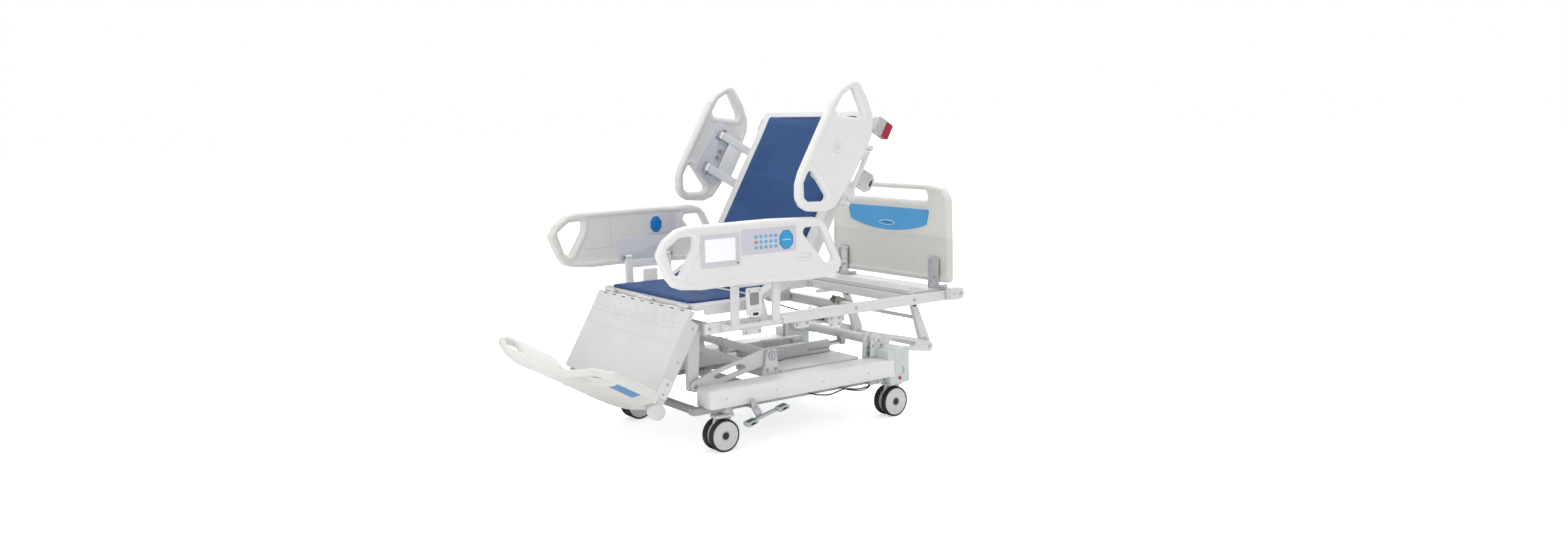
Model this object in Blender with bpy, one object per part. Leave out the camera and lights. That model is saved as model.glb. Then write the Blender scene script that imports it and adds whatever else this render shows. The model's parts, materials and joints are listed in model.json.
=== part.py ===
"""Electric intensive-care hospital bed in the cardiac-chair position.

Metres, +Z up, +X towards the head end, -Y is the near side, with the touch screen.
The origin is on the floor under the middle of the whole bed. The bed is laid out
from the middle of its wheelbase and moved there once, at the end. Every piece is
one closed solid; the pieces of one moving group hang under an empty on that
group's joint axis. A pair of numbers is low-high along one axis, unless it is
marked as a point (x, z). A Y pair is measured outwards from the middle of the bed.
"""

import math
from types import SimpleNamespace

import bmesh
import bpy
from mathutils import Matrix, Vector

# ---------------------------------------------------------------- shared dimensions
GAP = 0.0004                    # between pieces that rest on each other
SIDES = {"near": -1, "far": 1}  # sign of Y
WORLD = Matrix.Identity(4)
FLOOR_ORIGIN = (0, 0, 0)

# hinges, points (x, z); angles in degrees from the horizontal
SEAT_HINGE = (-0.300, 0.667)    # thigh and hip sections turn here
KNEE_HINGE = (-0.645, 0.667)    # calf section turns here
THIGH_LENGTH = SEAT_HINGE[0] - KNEE_HINGE[0]
HIP_LENGTH, HIP_ANGLE = 0.325, 30.0
BACK_LENGTH, BACK_ANGLE = 0.770, 60.0
CALF_LENGTH, CALF_ANGLE = 0.415, 60.0     # angle below the horizontal

LIFT_FOOT = (-0.170, 0.385)     # (x, z) of the foot lift arm's base pivot
LIFT_HEAD = (0.430, 0.385)
LIFT_REACH, LIFT_DROP = 0.405, 0.095      # arm end from its base pivot
FOOT_END = (LIFT_FOOT[0] - LIFT_REACH, LIFT_FOOT[1] - LIFT_DROP)
HEAD_END = (LIFT_HEAD[0] + LIFT_REACH, LIFT_HEAD[1] - LIFT_DROP)
COLUMN_Y = (0.262, 0.290)       # foot columns and head links
FORK_Y = (0.0130, 0.0210)       # lever plate faces, from the middle of the motor rod

FRAME_Z = (0.545, 0.595)        # upper frame rails
BOARD_X = (0.820, 0.860)        # headboard faces
ORIGIN_SHIFT = 0.1605           # middle of the wheelbase from the middle of the whole bed

# ---------------------------------------------------------------- clean start
for old in list(bpy.data.objects):
    bpy.data.objects.remove(old, do_unlink=True)
for old in list(bpy.data.collections):
    bpy.data.collections.remove(old)

parts = bpy.data.collections.new("icu_bed")
bpy.context.scene.collection.children.link(parts)


# ---------------------------------------------------------------- materials
def material(name, colour, roughness, metallic=0.0):
    mat = bpy.data.materials.new(name)
    mat.use_nodes = True
    inputs = mat.node_tree.nodes["Principled BSDF"].inputs
    inputs["Base Color"].default_value = (*colour, 1.0)
    inputs["Roughness"].default_value = roughness
    inputs["Metallic"].default_value = metallic
    mat.diffuse_color = (*colour, 1.0)
    return mat


WHITE = material("white_plastic", colour=(0.76, 0.76, 0.74), roughness=0.38)
WARM = material("warm_white_plastic", colour=(0.66, 0.64, 0.61), roughness=0.42)
COAT = material("white_coated_steel", colour=(0.74, 0.75, 0.76), roughness=0.32)
GREY = material("grey_coated_steel", colour=(0.45, 0.47, 0.48), roughness=0.40)
MINT = material("pale_green_plastic", colour=(0.62, 0.68, 0.64), roughness=0.42)
BLUE = material("blue_cover", colour=(0.035, 0.095, 0.26), roughness=0.62)
INLAY = material("light_blue_inlay", colour=(0.07, 0.30, 0.60), roughness=0.35)
STEEL = material("stainless_steel", colour=(0.62, 0.63, 0.66), roughness=0.28, metallic=1.0)
TYRE = material("wheel_tyre", colour=(0.02, 0.02, 0.02), roughness=0.75)
SCREEN = material("screen_glass", colour=(0.85, 0.86, 0.88), roughness=0.12)
FOIL = material("keypad_foil", colour=(0.55, 0.57, 0.66), roughness=0.35)
DARK = material("dark_plastic", colour=(0.05, 0.055, 0.06), roughness=0.5)


# ---------------------------------------------------------------- section frames
def section_frame(hinge, along_x, along_z):
    """Local (along, across, up) to world, from a hinge (x, z). Along runs in the
    given direction, up is its upper normal; across keeps the three right-handed."""
    along = Vector((along_x, 0.0, along_z))
    up = Vector((-along_z, 0.0, along_x))
    if up.z < 0:
        up = -up
    frame = Matrix.Identity(4)
    for i, column in enumerate((along, up.cross(along), up)):
        for j in range(3):
            frame[j][i] = column[j]
    frame[0][3], frame[2][3] = hinge
    return frame


def polar(length, degrees):
    angle = math.radians(degrees)
    return length * math.cos(angle), length * math.sin(angle)


hip_x, hip_z = polar(HIP_LENGTH, HIP_ANGLE)
calf_x, calf_z = polar(1.0, CALF_ANGLE)
BACK_HINGE = (SEAT_HINGE[0] + hip_x, SEAT_HINGE[1] + hip_z)

# across is +Y in the hip and back frames, -Y in the thigh and calf frames
HIP = section_frame(SEAT_HINGE, *polar(1.0, HIP_ANGLE))
BACK = section_frame(BACK_HINGE, *polar(1.0, BACK_ANGLE))
THIGH = section_frame(SEAT_HINGE, -1.0, 0.0)
CALF = section_frame(KNEE_HINGE, -calf_x, -calf_z)

# plate's (x, y, z) to (along, -across, up) in the order along, up, across
SIDE_PLANE = Matrix(((1, 0, 0, 0), (0, 0, -1, 0), (0, 1, 0, 0), (0, 0, 0, 1)))
# plate's (x, y, z) to (across, up, along)
CROSS_PLANE = Matrix(((0, 0, 1, 0), (1, 0, 0, 0), (0, 1, 0, 0), (0, 0, 0, 1)))


# ---------------------------------------------------------------- shapes
def rising(first, second):
    return tuple(sorted((first, second)))


def both(sign, low, high):
    """The pair low-high measured outwards on the side of sign, as a rising pair."""
    return (low, high) if sign > 0 else (-high, -low)


def fork_plates(middle):
    """The two rising Y pairs of a lever's plates, either side of a motor rod."""
    return [rising(middle + t * FORK_Y[0], middle + t * FORK_Y[1]) for t in (-1, 1)]


def mesh_object(bm, frame):
    bm.transform(frame)
    bmesh.ops.recalc_face_normals(bm, faces=bm.faces)
    if bm.calc_volume(signed=True) < 0:
        bmesh.ops.reverse_faces(bm, faces=bm.faces)
    mesh = bpy.data.meshes.new("shape")
    bm.to_mesh(mesh)
    bm.free()
    ob = bpy.data.objects.new("shape", mesh)
    parts.objects.link(ob)
    return ob


def box(along, across, up, frame=WORLD):
    """A box from its three low-high pairs."""
    pairs = (along, across, up)
    bm = bmesh.new()
    bmesh.ops.create_cube(bm, size=1.0)
    scale = Matrix.Diagonal((*(high - low for low, high in pairs), 1.0))
    shift = Matrix.Translation([(low + high) / 2 for low, high in pairs])
    bm.transform(shift @ scale)
    return mesh_object(bm, frame)


def rod(start, end, radius, frame=WORLD, segments=14):
    """A round bar between two points."""
    start, end = Vector(start), Vector(end)
    bm = bmesh.new()
    bmesh.ops.create_cone(bm, cap_ends=True, segments=segments, radius1=radius,
                          radius2=radius, depth=(end - start).length)
    turn = (end - start).to_track_quat("Z", "Y").to_matrix().to_4x4()
    bm.transform(Matrix.Translation((start + end) / 2) @ turn)
    return mesh_object(bm, frame)


def rod_across(x, z, y0, y1, radius, segments=14):
    return rod((x, y0, z), (x, y1, z), radius, segments=segments)


def rounded(points, radius, steps=3):
    """The closed outline with each corner replaced by an arc."""
    straight = math.radians(88)     # half angle above which a corner is kept
    out = []
    n = len(points)
    for i in range(n):
        before, corner, after = (Vector(points[(i + k) % n]) for k in (-1, 0, 1))
        back, ahead = (before - corner), (after - corner)
        back_length, ahead_length = back.length, ahead.length
        back.normalize()
        ahead.normalize()
        half = math.acos(max(-1.0, min(1.0, back.dot(ahead)))) / 2
        if half > straight:
            out.append(tuple(corner))
            continue
        cut = min(radius / math.tan(half), 0.45 * back_length, 0.45 * ahead_length)
        arc_radius = cut * math.tan(half)
        centre = corner + (back + ahead).normalized() * (arc_radius / math.sin(half))
        start, end = corner + back * cut - centre, corner + ahead * cut - centre
        turn = math.atan2(start.x * end.y - start.y * end.x, start.dot(end))
        for k in range(steps + 1):
            angle = turn * k / steps
            out.append((
                centre.x + start.x * math.cos(angle) - start.y * math.sin(angle),
                centre.y + start.x * math.sin(angle) + start.y * math.cos(angle),
            ))
    return out


def plate(outline, low, high, frame, holes=()):
    """A flat outline, with holes, given thickness from low to high along local z."""
    curve = bpy.data.curves.new("plate", "CURVE")
    curve.dimensions = "2D"
    curve.fill_mode = "BOTH"
    curve.extrude = (high - low) / 2
    for loop in (outline, *holes):
        spline = curve.splines.new("POLY")
        spline.points.add(len(loop) - 1)
        for point, (x, y) in zip(spline.points, loop):
            point.co = (x, y, 0.0, 1.0)
        spline.use_cyclic_u = True
    ob = bpy.data.objects.new("plate", curve)
    parts.objects.link(ob)
    mesh = evaluated_mesh(ob)
    bm = bmesh.new()
    bm.from_mesh(mesh)
    bpy.data.objects.remove(ob, do_unlink=True)
    bpy.data.meshes.remove(mesh)
    bmesh.ops.remove_doubles(bm, verts=bm.verts, dist=1e-5)
    bm.transform(Matrix.Translation((0, 0, (low + high) / 2)))
    return mesh_object(bm, frame)


def side_plate(outline, y0, y1, frame=WORLD, holes=()):
    """An (along, up) outline given width across the bed, from y0 to y1."""
    return plate(outline, -y1, -y0, frame @ SIDE_PLANE, holes)


def cross_plate(outline, low, high, frame=WORLD, holes=()):
    """An (across, up) outline given depth along the frame, from low to high."""
    return plate(outline, low, high, frame @ CROSS_PLANE, holes)


def evaluated_mesh(ob):
    bpy.context.view_layer.update()
    depsgraph = bpy.context.evaluated_depsgraph_get()
    return bpy.data.meshes.new_from_object(ob.evaluated_get(depsgraph))


def combined(base, others, operation):
    """The base after one boolean with each of the others, which are used up."""
    for other in others:
        mod = base.modifiers.new("boolean", "BOOLEAN")
        mod.operation = operation
        mod.solver = "EXACT"
        mod.object = other
        mesh = evaluated_mesh(base)
        base.modifiers.clear()
        used = (base.data, other.data)
        base.data = mesh
        bpy.data.objects.remove(other, do_unlink=True)
        for old_mesh in used:
            bpy.data.meshes.remove(old_mesh)
    return base


def finish(name, mat, shapes, parent, cuts=(), origin=None, smooth=False):
    """Joins the shapes into one solid, cuts it, names it and hangs it under parent.
    Its origin is on the parent's unless another is given."""
    ob = combined(shapes[0], shapes[1:], "UNION")
    ob = combined(ob, cuts, "DIFFERENCE")
    bpy.context.view_layer.update()
    origin = Vector(parent.matrix_world.translation if origin is None else origin)
    bm = bmesh.new()
    bm.from_mesh(ob.data)
    bmesh.ops.remove_doubles(bm, verts=bm.verts, dist=2e-6)
    bmesh.ops.dissolve_limit(bm, angle_limit=math.radians(0.2), verts=bm.verts, edges=bm.edges)
    bmesh.ops.triangulate(bm, faces=[f for f in bm.faces if len(f.verts) > 4])
    bm.transform(Matrix.Translation(-origin))
    bm.to_mesh(ob.data)
    bm.free()
    ob.data.materials.clear()
    ob.data.materials.append(mat)
    if smooth:
        ob.data.shade_smooth()
        ob.data.set_sharp_from_angle(angle=math.radians(35))
    ob.name = name
    ob.data.name = name
    ob.location = origin
    ob.parent = parent
    ob.matrix_parent_inverse = parent.matrix_world.inverted()
    return ob


def joint(name, at, parent=None):
    """An empty on a joint's axis, which a moving group hangs under."""
    empty = bpy.data.objects.new(name, None)
    parts.objects.link(empty)
    empty.location = at
    bpy.context.view_layer.update()
    if parent is not None:
        empty.parent = parent
        empty.matrix_parent_inverse = parent.matrix_world.inverted()
        bpy.context.view_layer.update()
    return empty


def centre_joint(name, point, parent):
    """A joint in the middle of the bed's width, at (x, z)."""
    return joint(name, (point[0], 0, point[1]), parent)


# ---------------------------------------------------------------- main joints
base_group = joint("base_group", FLOOR_ORIGIN)
foot_arm_group = centre_joint("foot_arm_group", LIFT_FOOT, base_group)
upper_group = centre_joint("upper_frame_group", FOOT_END, foot_arm_group)
head_arm_group = centre_joint("head_arm_group", LIFT_HEAD, base_group)
head_link_group = centre_joint("head_link_group", HEAD_END, head_arm_group)
thigh_group = centre_joint("thigh_group", SEAT_HINGE, upper_group)
hip_group = centre_joint("hip_group", SEAT_HINGE, upper_group)
back_group = centre_joint("back_group", BACK_HINGE, hip_group)
calf_group = centre_joint("calf_group", KNEE_HINGE, thigh_group)

# ---------------------------------------------------------------- base
TUBE_X, TUBE_Y, TUBE_Z = (-0.650, 0.560), (0.365, 0.415), (0.185, 0.215)
CROSSBAR_Y = (-0.40, 0.40)
# x pair, z pair
BASE_CROSSBARS = (
    ((-0.650, -0.622), (0.188, 0.222)),
    ((-0.205, -0.135), (0.188, 0.212)),
    ((0.385, 0.455), (0.188, 0.212)),
)
POST_Y = (0.3145, 0.3345)       # posts that carry the lift arm pivots
POST_FOOT_Z = 0.195
# (x, z)
FOOT_POST = [(-0.245, POST_FOOT_Z), (-0.120, POST_FOOT_Z), (-0.138, 0.345), (-0.146, 0.412),
             (-0.194, 0.412), (-0.205, 0.345)]
DOME_R = 0.036                  # round top of the head post
DOME_ANGLES = (15, 40, 65, 90, 115, 140, 165)

CASTOR_Y = 0.390
CASTOR_X = {"foot": -0.470, "head": 0.530}      # swivel axes
STEM_R, STEM_Z = 0.019, (0.1725, 0.200)

COVER_Y = (0.345, 0.477)
COVER_Z = (0.2155, 0.300)
# (x, z): long and low, with a taller part at the head end
SIDE_COVER = [(-0.600, COVER_Z[0]), (0.555, COVER_Z[0]), (0.555, 0.348), (0.405, 0.348),
              (0.385, COVER_Z[1]), (-0.565, COVER_Z[1]), (-0.600, 0.276)]
SKIRT_Y = (0.426, 0.4765)
SKIRT = [(0.415, 0.1765), (0.552, 0.1765), (0.552, 0.240), (0.415, 0.240)]
COVER_ROUND = 0.012
BOX_BOTTOM_Z = 0.2295           # centre cover's tray and power box


def head_post():
    """Outline (x, z) of the head post, with a domed top round its pivot."""
    x, z = LIFT_HEAD
    outline = [(x - 0.052, POST_FOOT_Z), (x + 0.052, POST_FOOT_Z), (x + 0.045, z)]
    for angle in map(math.radians, DOME_ANGLES):
        outline.append((x + DOME_R * math.cos(angle), z + DOME_R * math.sin(angle)))
    return outline + [(x - 0.045, z)]


def base_frame():
    shapes = [box(TUBE_X, both(sign, *TUBE_Y), TUBE_Z) for sign in SIDES.values()]
    shapes += [box(x, CROSSBAR_Y, z) for x, z in BASE_CROSSBARS]
    for sign in SIDES.values():
        for outline in (FOOT_POST, head_post()):
            shapes.append(side_plate(outline, *both(sign, *POST_Y)))
    for x in CASTOR_X.values():
        for sign in SIDES.values():
            y = sign * CASTOR_Y
            shapes.append(rod((x, y, STEM_Z[0]), (x, y, STEM_Z[1]), STEM_R))
    finish("base_frame", GREY, shapes, base_group)


def base_side_cover(tag, sign):
    finish(f"base_cover_{tag}", WHITE, [
        side_plate(rounded(SIDE_COVER, COVER_ROUND), *both(sign, *COVER_Y)),
        side_plate(rounded(SKIRT, COVER_ROUND), *both(sign, *SKIRT_Y)),
    ], base_group)


def base_centre():
    finish("base_centre_cover", GREY, [
        box((-0.105, 0.370), (-0.3125, 0.3125), (0.284, COVER_Z[1])),
        box((-0.085, 0.350), (-0.120, 0.120), (BOX_BOTTOM_Z, 0.290)),
    ], base_group)
    finish("power_box", COAT, [box((0.235, 0.345), (-0.340, -0.190), (BOX_BOTTOM_Z, 0.2835))],
           base_group)


base_frame()
for side_tag, side_sign in SIDES.items():
    base_side_cover(side_tag, side_sign)
base_centre()

# ---------------------------------------------------------------- castors
WHEEL_R, WHEEL_W = 0.075, 0.030
WHEEL_INNER = 0.0125            # inner face of each wheel from the fork's middle
TRAIL = 0.030                   # wheel axis behind the swivel axis, towards the foot end
SWIVEL_Z = 0.1715
WEB_HALF, HOOD_HALF = 0.009, 0.036
AXLE_R, AXLE_BORE_R = 0.0080, 0.0095


def castor_fork(name, x, y, swivel):
    hub_x = x - TRAIL
    web = side_plate(rounded([
        (x + 0.022, 0.140), (x + 0.026, 0.168), (x - 0.060, 0.168),
        (hub_x - 0.040, 0.128), (hub_x - 0.018, 0.062), (hub_x + 0.018, 0.062),
    ], 0.012), y - WEB_HALF, y + WEB_HALF)
    hood = side_plate(rounded([
        (x + 0.030, 0.1560), (x + 0.030, SWIVEL_Z), (x - 0.052, SWIVEL_Z),
        (x - 0.075, 0.1585), (x - 0.070, 0.1560),
    ], 0.004), y - HOOD_HALF, y + HOOD_HALF)
    bore = rod_across(hub_x, WHEEL_R, y - 0.05, y + 0.05, AXLE_BORE_R, segments=12)
    finish(name, COAT, [web, hood], swivel, cuts=[bore])


def castor_wheels(name, x, y, roll):
    """Twin wheels on one axle."""
    shapes = [
        rod_across(x, WHEEL_R, y + t * WHEEL_INNER, y + t * (WHEEL_INNER + WHEEL_W), WHEEL_R,
                   segments=28)
        for t in (-1, 1)
    ]
    shapes.append(rod_across(x, WHEEL_R, y - 0.02, y + 0.02, AXLE_R, segments=12))
    finish(name, TYRE, shapes, roll, smooth=True)


def castor(tag, x, y):
    swivel = joint(f"swivel_{tag}", (x, y, SWIVEL_Z), base_group)
    castor_fork(f"castor_fork_{tag}", x, y, swivel)
    roll = joint(f"roll_{tag}", (x - TRAIL, y, WHEEL_R), swivel)
    castor_wheels(f"castor_wheel_{tag}", x - TRAIL, y, roll)


for end_tag, castor_x in CASTOR_X.items():
    for side_tag, side_sign in SIDES.items():
        castor(f"{end_tag}_{side_tag}", castor_x, side_sign * CASTOR_Y)

# ---------------------------------------------------------------- brake pedals
# all points (x, z)
PEDAL_PIVOT, PEDAL_Y = (-0.380, 0.200), 0.500
PEDAL_STEM = [(-0.408, 0.238), (-0.388, 0.240), (-0.350, 0.178), (-0.352, 0.150),
              (-0.372, 0.148), (-0.402, 0.198)]
PEDAL_BAR_ENDS = ((-0.436, 0.136), (-0.233, 0.185))
PEDAL_ROUND = 0.006


def sloped_outline(start, end, along, up, below, above):
    """A rectangle along a sloping line, from below it to above it."""
    return [tuple(start - along - up * below), tuple(end + along - up * below),
            tuple(end + along + up * above), tuple(start - along + up * above)]


def brake_pedal(tag, sign):
    """A stem on a pin, with a sloping bar that has a foot pad near each end."""
    x, z = PEDAL_PIVOT
    pedal = joint(f"brake_group_{tag}", (x, sign * PEDAL_Y, z), base_group)
    pin = rod_across(x, z, sign * 0.4158, sign * PEDAL_Y, 0.0105)
    stem = side_plate(rounded(PEDAL_STEM, PEDAL_ROUND), *both(sign, 0.492, 0.502))
    start, end = map(Vector, PEDAL_BAR_ENDS)
    slope = (end - start).normalized()
    up = Vector((-slope.y, slope.x))
    bar = side_plate(sloped_outline(start, end, slope * 0.0, up, below=0.006, above=0.007),
                     *both(sign, 0.498, 0.518))
    pads = []
    for middle in (start + slope * 0.016, end - slope * 0.016):
        outline = sloped_outline(middle, middle, slope * 0.028, up, below=0.010, above=0.011)
        pads.append(side_plate(rounded(outline, PEDAL_ROUND), *both(sign, 0.494, 0.538)))
    finish(f"brake_pedal_{tag}", MINT, [stem, pin, bar] + pads, pedal)


for side_tag, side_sign in SIDES.items():
    brake_pedal(side_tag, side_sign)

# ---------------------------------------------------------------- lift arms and motors
ARM_Y = (0.2935, 0.3115)        # lift arm plates
MOTOR_Z = 0.338                 # rod axis
MOTOR_BOTTOM_Z = 0.3005 + GAP
MOUTH_X = 0.085                 # front of the motor housing from the arm pivot


def lift_arm(name, pivot, end, motor_y, parent):
    """Two plates on one cross tube, with a lever for its motor under the tube."""
    toward = 1 if end[0] > pivot[0] else -1
    x, z = pivot
    along = Vector((end[0] - x, end[1] - z)).normalized()
    up = Vector((-along.y, along.x)) * toward
    start = Vector(pivot)
    length = (Vector(end) - start).length

    def placed(points):
        """Points (along, up) from the pivot, as (x, z)."""
        return [tuple(start + along * a + up * u) for a, u in points]

    outline = rounded(placed([
        (-0.030, -0.026), (0.055, -0.040), (length - 0.12, -0.034), (length + 0.022, -0.024),
        (length + 0.022, 0.024), (length - 0.10, 0.034), (0.050, 0.034), (-0.030, 0.026),
    ]), 0.016)
    hole = rounded(placed([
        (0.125, -0.018), (length - 0.125, -0.014), (length - 0.085, 0.014), (0.165, 0.016),
    ]), 0.006)
    shapes = [rod_across(x, z, -ARM_Y[1], ARM_Y[1], 0.020, segments=18)]
    for sign in SIDES.values():
        shapes.append(side_plate(outline, *both(sign, *ARM_Y), holes=[hole]))
    tie_x, tie_z = placed([(0.085, -0.020)])[0]
    shapes.append(rod_across(tie_x, tie_z, -0.300, 0.300, 0.014))
    lever = [(x - 0.018, z), (x + 0.018, z), (x + 0.011, z - 0.060), (x - 0.011, z - 0.060)]
    shapes += [side_plate(lever, *y) for y in fork_plates(motor_y)]
    finish(name, COAT, shapes, parent)


def lift_motor(tag, pivot_x, y, far_x):
    """A fixed housing that ends at far_x, and the rod that slides in it."""
    toward = 1 if far_x > pivot_x else -1
    mouth = pivot_x + toward * MOUTH_X
    body = box(rising(mouth, far_x), (y - 0.025, y + 0.025), (MOTOR_BOTTOM_Z, 0.3620))
    can = box(rising(far_x - toward * 0.075, far_x - toward * 0.002),
              (y - 0.044, y + 0.044), (MOTOR_BOTTOM_Z, 0.3560))
    bore = rod((mouth - toward * 0.02, y, MOTOR_Z), (mouth + toward * 0.155, y, MOTOR_Z), 0.0145)
    finish(f"lift_motor_{tag}", DARK, [body, can], base_group, cuts=[bore])

    slide = joint(f"lift_rod_group_{tag}", (pivot_x, y, MOTOR_Z), base_group)
    shaft = rod((pivot_x, y, MOTOR_Z), (mouth + toward * 0.095, y, MOTOR_Z), 0.0115)
    eye = rod_across(pivot_x, MOTOR_Z, y - 0.0105, y + 0.0105, 0.0150)
    finish(f"lift_rod_{tag}", STEEL, [shaft, eye], slide, smooth=True)


# end, pivot, arm end, motor y, x of the motor's far end, arm joint
for end_tag, arm_pivot, arm_end, lift_y, motor_end, arm_group in (
    ("foot", LIFT_FOOT, FOOT_END, 0.090, 0.300, foot_arm_group),
    ("head", LIFT_HEAD, HEAD_END, -0.090, -0.030, head_arm_group),
):
    lift_arm(f"{end_tag}_lift_arm", arm_pivot, arm_end, lift_y, arm_group)
    lift_motor(end_tag, arm_pivot[0], lift_y, motor_end)

# ---------------------------------------------------------------- head link
LINK_TOP = (HEAD_END[0] - 0.082, 0.5185)        # (x, z) of the rollers


def head_link():
    """Links from the head lift arm's end to rollers under the upper frame."""
    x0, z0 = HEAD_END
    x1, z1 = LINK_TOP
    outline = [(x0 - 0.026, z0 - 0.010), (x0 - 0.014, z0 - 0.022), (x0 + 0.012, z0 - 0.023),
               (x0 + 0.025, z0 + 0.030), (x1 + 0.019, z1 - 0.002), (x1 - 0.017, z1 - 0.003)]
    shapes = [rod_across(x0, z0, -0.2915, 0.2915, 0.014)]
    for sign in SIDES.values():
        shapes.append(side_plate(outline, *both(sign, *COLUMN_Y)))
        shapes.append(rod_across(x1, z1, sign * (COLUMN_Y[0] - 0.002),
                                 sign * (COLUMN_Y[1] + 0.002), 0.0150))
    shapes.append(rod_across(x1 + 0.0265, z1 - 0.0765, -0.273, 0.273, 0.010))
    finish("head_link", COAT, shapes, head_link_group)


head_link()

# ---------------------------------------------------------------- upper frame
FRAME_X, FRAME_Y = (-0.600, 0.885), (0.410, 0.440)
FRAME_CROSSBARS_X = ((-0.595, -0.555), (0.230, 0.270), (0.600, 0.640), (0.845, 0.880))
RAIL_LUGS_X = ((-0.520, -0.500), (-0.210, -0.190))
# outlines (x, z)
FOOT_COLUMN = [(-0.602, 0.560), (-0.602, 0.266), (-0.548, 0.266), (-0.540, 0.400),
               (-0.530, 0.560)]
HINGE_UPRIGHT = [(-0.345, 0.560), (-0.255, 0.560), (-0.284, 0.676), (-0.316, 0.676)]
HEAD_BUMPER = [(0.8855, 0.549), (0.911, 0.556), (0.911, 0.606), (0.8855, 0.613),
               (0.825, 0.613), (0.825, 0.549)]

BACK_LEVER = 0.075              # rod eye from the seat hinge
BACK_MOTOR_Y, BACK_MOTOR_Z = 0.100, 0.600
EYE_X = SEAT_HINGE[0] + BACK_LEVER * math.sin(math.radians(HIP_ANGLE))


def upper_frame():
    shapes = []
    for sign in SIDES.values():
        shapes.append(box(FRAME_X, both(sign, *FRAME_Y), FRAME_Z))
        # foot column down to the foot lift arm
        shapes.append(side_plate(rounded(FOOT_COLUMN, 0.010), *both(sign, *COLUMN_Y)))
        # hinge upright for the thigh and hip sections
        shapes.append(side_plate(HINGE_UPRIGHT, *both(sign, 0.4325, 0.4445)))
        # roller track of the head link
        shapes.append(box((0.560, 0.868), both(sign, 0.256, 0.296), (0.5355, 0.550)))
        # lugs beside the foot siderail's lower pivot
        for x in RAIL_LUGS_X:
            shapes.append(box(x, both(sign, 0.435, 0.490), (0.552, 0.588)))
        # siderail bracket post on the outside
        shapes.append(box((-0.405, -0.305), both(sign, 0.436, 0.452), (0.520, 0.592)))
    shapes += [box(x, (-0.425, 0.425), (0.5465, 0.5935)) for x in FRAME_CROSSBARS_X]
    finish("upper_frame", COAT, shapes, upper_group)


def head_deck_plate():
    finish("head_deck_plate", COAT, [
        box((0.605, 0.885), (-0.405, 0.405), (FRAME_Z[1] + GAP, 0.6035)),
        box((0.610, 0.628), (-0.400, 0.400), (0.598, 0.616)),
    ], upper_group, origin=FLOOR_ORIGIN)


def control_box():
    """A box under the frame, with three round stubs on its foot-end face."""
    shapes = [box((0.195, 0.300), (-0.285, -0.150), (0.4850, FRAME_Z[0] - GAP))]
    for y in (-0.250, -0.220, -0.190):
        shapes.append(rod((0.188, y, 0.505), (0.200, y, 0.505), 0.010))
    finish("control_box", COAT, shapes, upper_group, origin=FLOOR_ORIGIN)


def back_motor():
    y, z = BACK_MOTOR_Y, BACK_MOTOR_Z
    finish("back_motor", DARK, [
        box((-0.110, 0.2290), (y - 0.027, y + 0.027), (0.573, 0.627)),
        box((0.120, 0.2270), (y - 0.045, y + 0.045), (0.553, 0.620)),
    ], upper_group, cuts=[rod((-0.14, y, z), (0.085, y, z), 0.0150)], origin=FLOOR_ORIGIN)

    slide = joint("back_rod_group", (EYE_X, y, z), upper_group)
    finish("back_rod", STEEL, [
        rod((EYE_X, y, z), (0.020, y, z), 0.0115),
        rod_across(EYE_X, z, y - 0.0105, y + 0.0105, 0.0145),
    ], slide, smooth=True)


def head_bumper(tag, sign):
    """A wrap round the frame's head corner, cut clear of the frame rail."""
    finish(f"head_bumper_{tag}", WHITE, [
        side_plate(rounded(HEAD_BUMPER, 0.010), *both(sign, 0.4405 + GAP, 0.485)),
        rod_across(0.885, 0.581, sign * 0.452, sign * 0.490, 0.029, segments=18),
    ], upper_group, cuts=[box((0.80, 0.89), both(sign, 0.380, 0.4408), (0.50, 0.65))],
        origin=FLOOR_ORIGIN)


upper_frame()
head_deck_plate()
control_box()
back_motor()
for side_tag, side_sign in SIDES.items():
    head_bumper(side_tag, side_sign)

# ---------------------------------------------------------------- deck sections
HALF_DECK = 0.430               # half width of the sleeping deck sections
HALF_PAD = 0.360                # half width of the blue deck covers
DECK_T = 0.012                  # half thickness of a deck section
PAD_T = 0.015                   # top of the blue covers above the deck's upper face
EDGE = 0.011                    # deck edge to its hinge axis
PAD_EDGE = 0.022                # blue cover edge to the hinge axis
KNUCKLE_R = 0.0090
# across pairs of the two interleaving sets of hinge knuckles
KNUCKLES_A = [(-0.340, -0.300), (-0.020, 0.020), (0.300, 0.340)]
KNUCKLES_B = [(-0.385, -0.342), (-0.064, -0.022), (0.022, 0.064), (0.342, 0.385)]

# hip section lever, (along, up)
HIP_LEVER = [(0.105, -0.006), (0.020, -0.006), (-0.013, -0.066), (-0.011, -0.082),
             (0.006, -0.087), (0.018, -0.080)]
# lug beside the head siderail's lower pivot, (outwards, up), and its places along the back
BACK_LUG = [(0.490, -0.052), (0.490, -0.028), (0.4415, -0.028), (0.4415, -0.004),
            (0.4230, -0.004), (0.4230, -0.052)]
BACK_LUGS_ALONG = ((0.300, 0.320), (0.590, 0.610))


def deck(name, frame, end, knuckles, flange, parent, depth=0.040, extra=()):
    """A deck section: a plate with side flanges under it and hinge knuckles, given as
    (hinge axis along the section, across pairs)."""
    shapes = [box((EDGE, end), (-HALF_DECK, HALF_DECK), (-DECK_T, DECK_T), frame)]
    for sign in SIDES.values():
        shapes.append(box(flange, both(sign, HALF_DECK - 0.012, HALF_DECK - 0.0005),
                          (-depth, -DECK_T + 0.004), frame))
    for axis, pairs in knuckles:
        web = (axis, EDGE + 0.004) if axis <= EDGE else (end - 0.004, axis)
        for y0, y1 in pairs:
            shapes.append(rod((axis, y0, 0), (axis, y1, 0), KNUCKLE_R, frame, segments=12))
            shapes.append(box(web, (y0 + 0.001, y1 - 0.001), (-0.006, 0.006), frame))
    shapes.extend(extra)
    finish(name, WHITE, shapes, parent)


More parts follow.
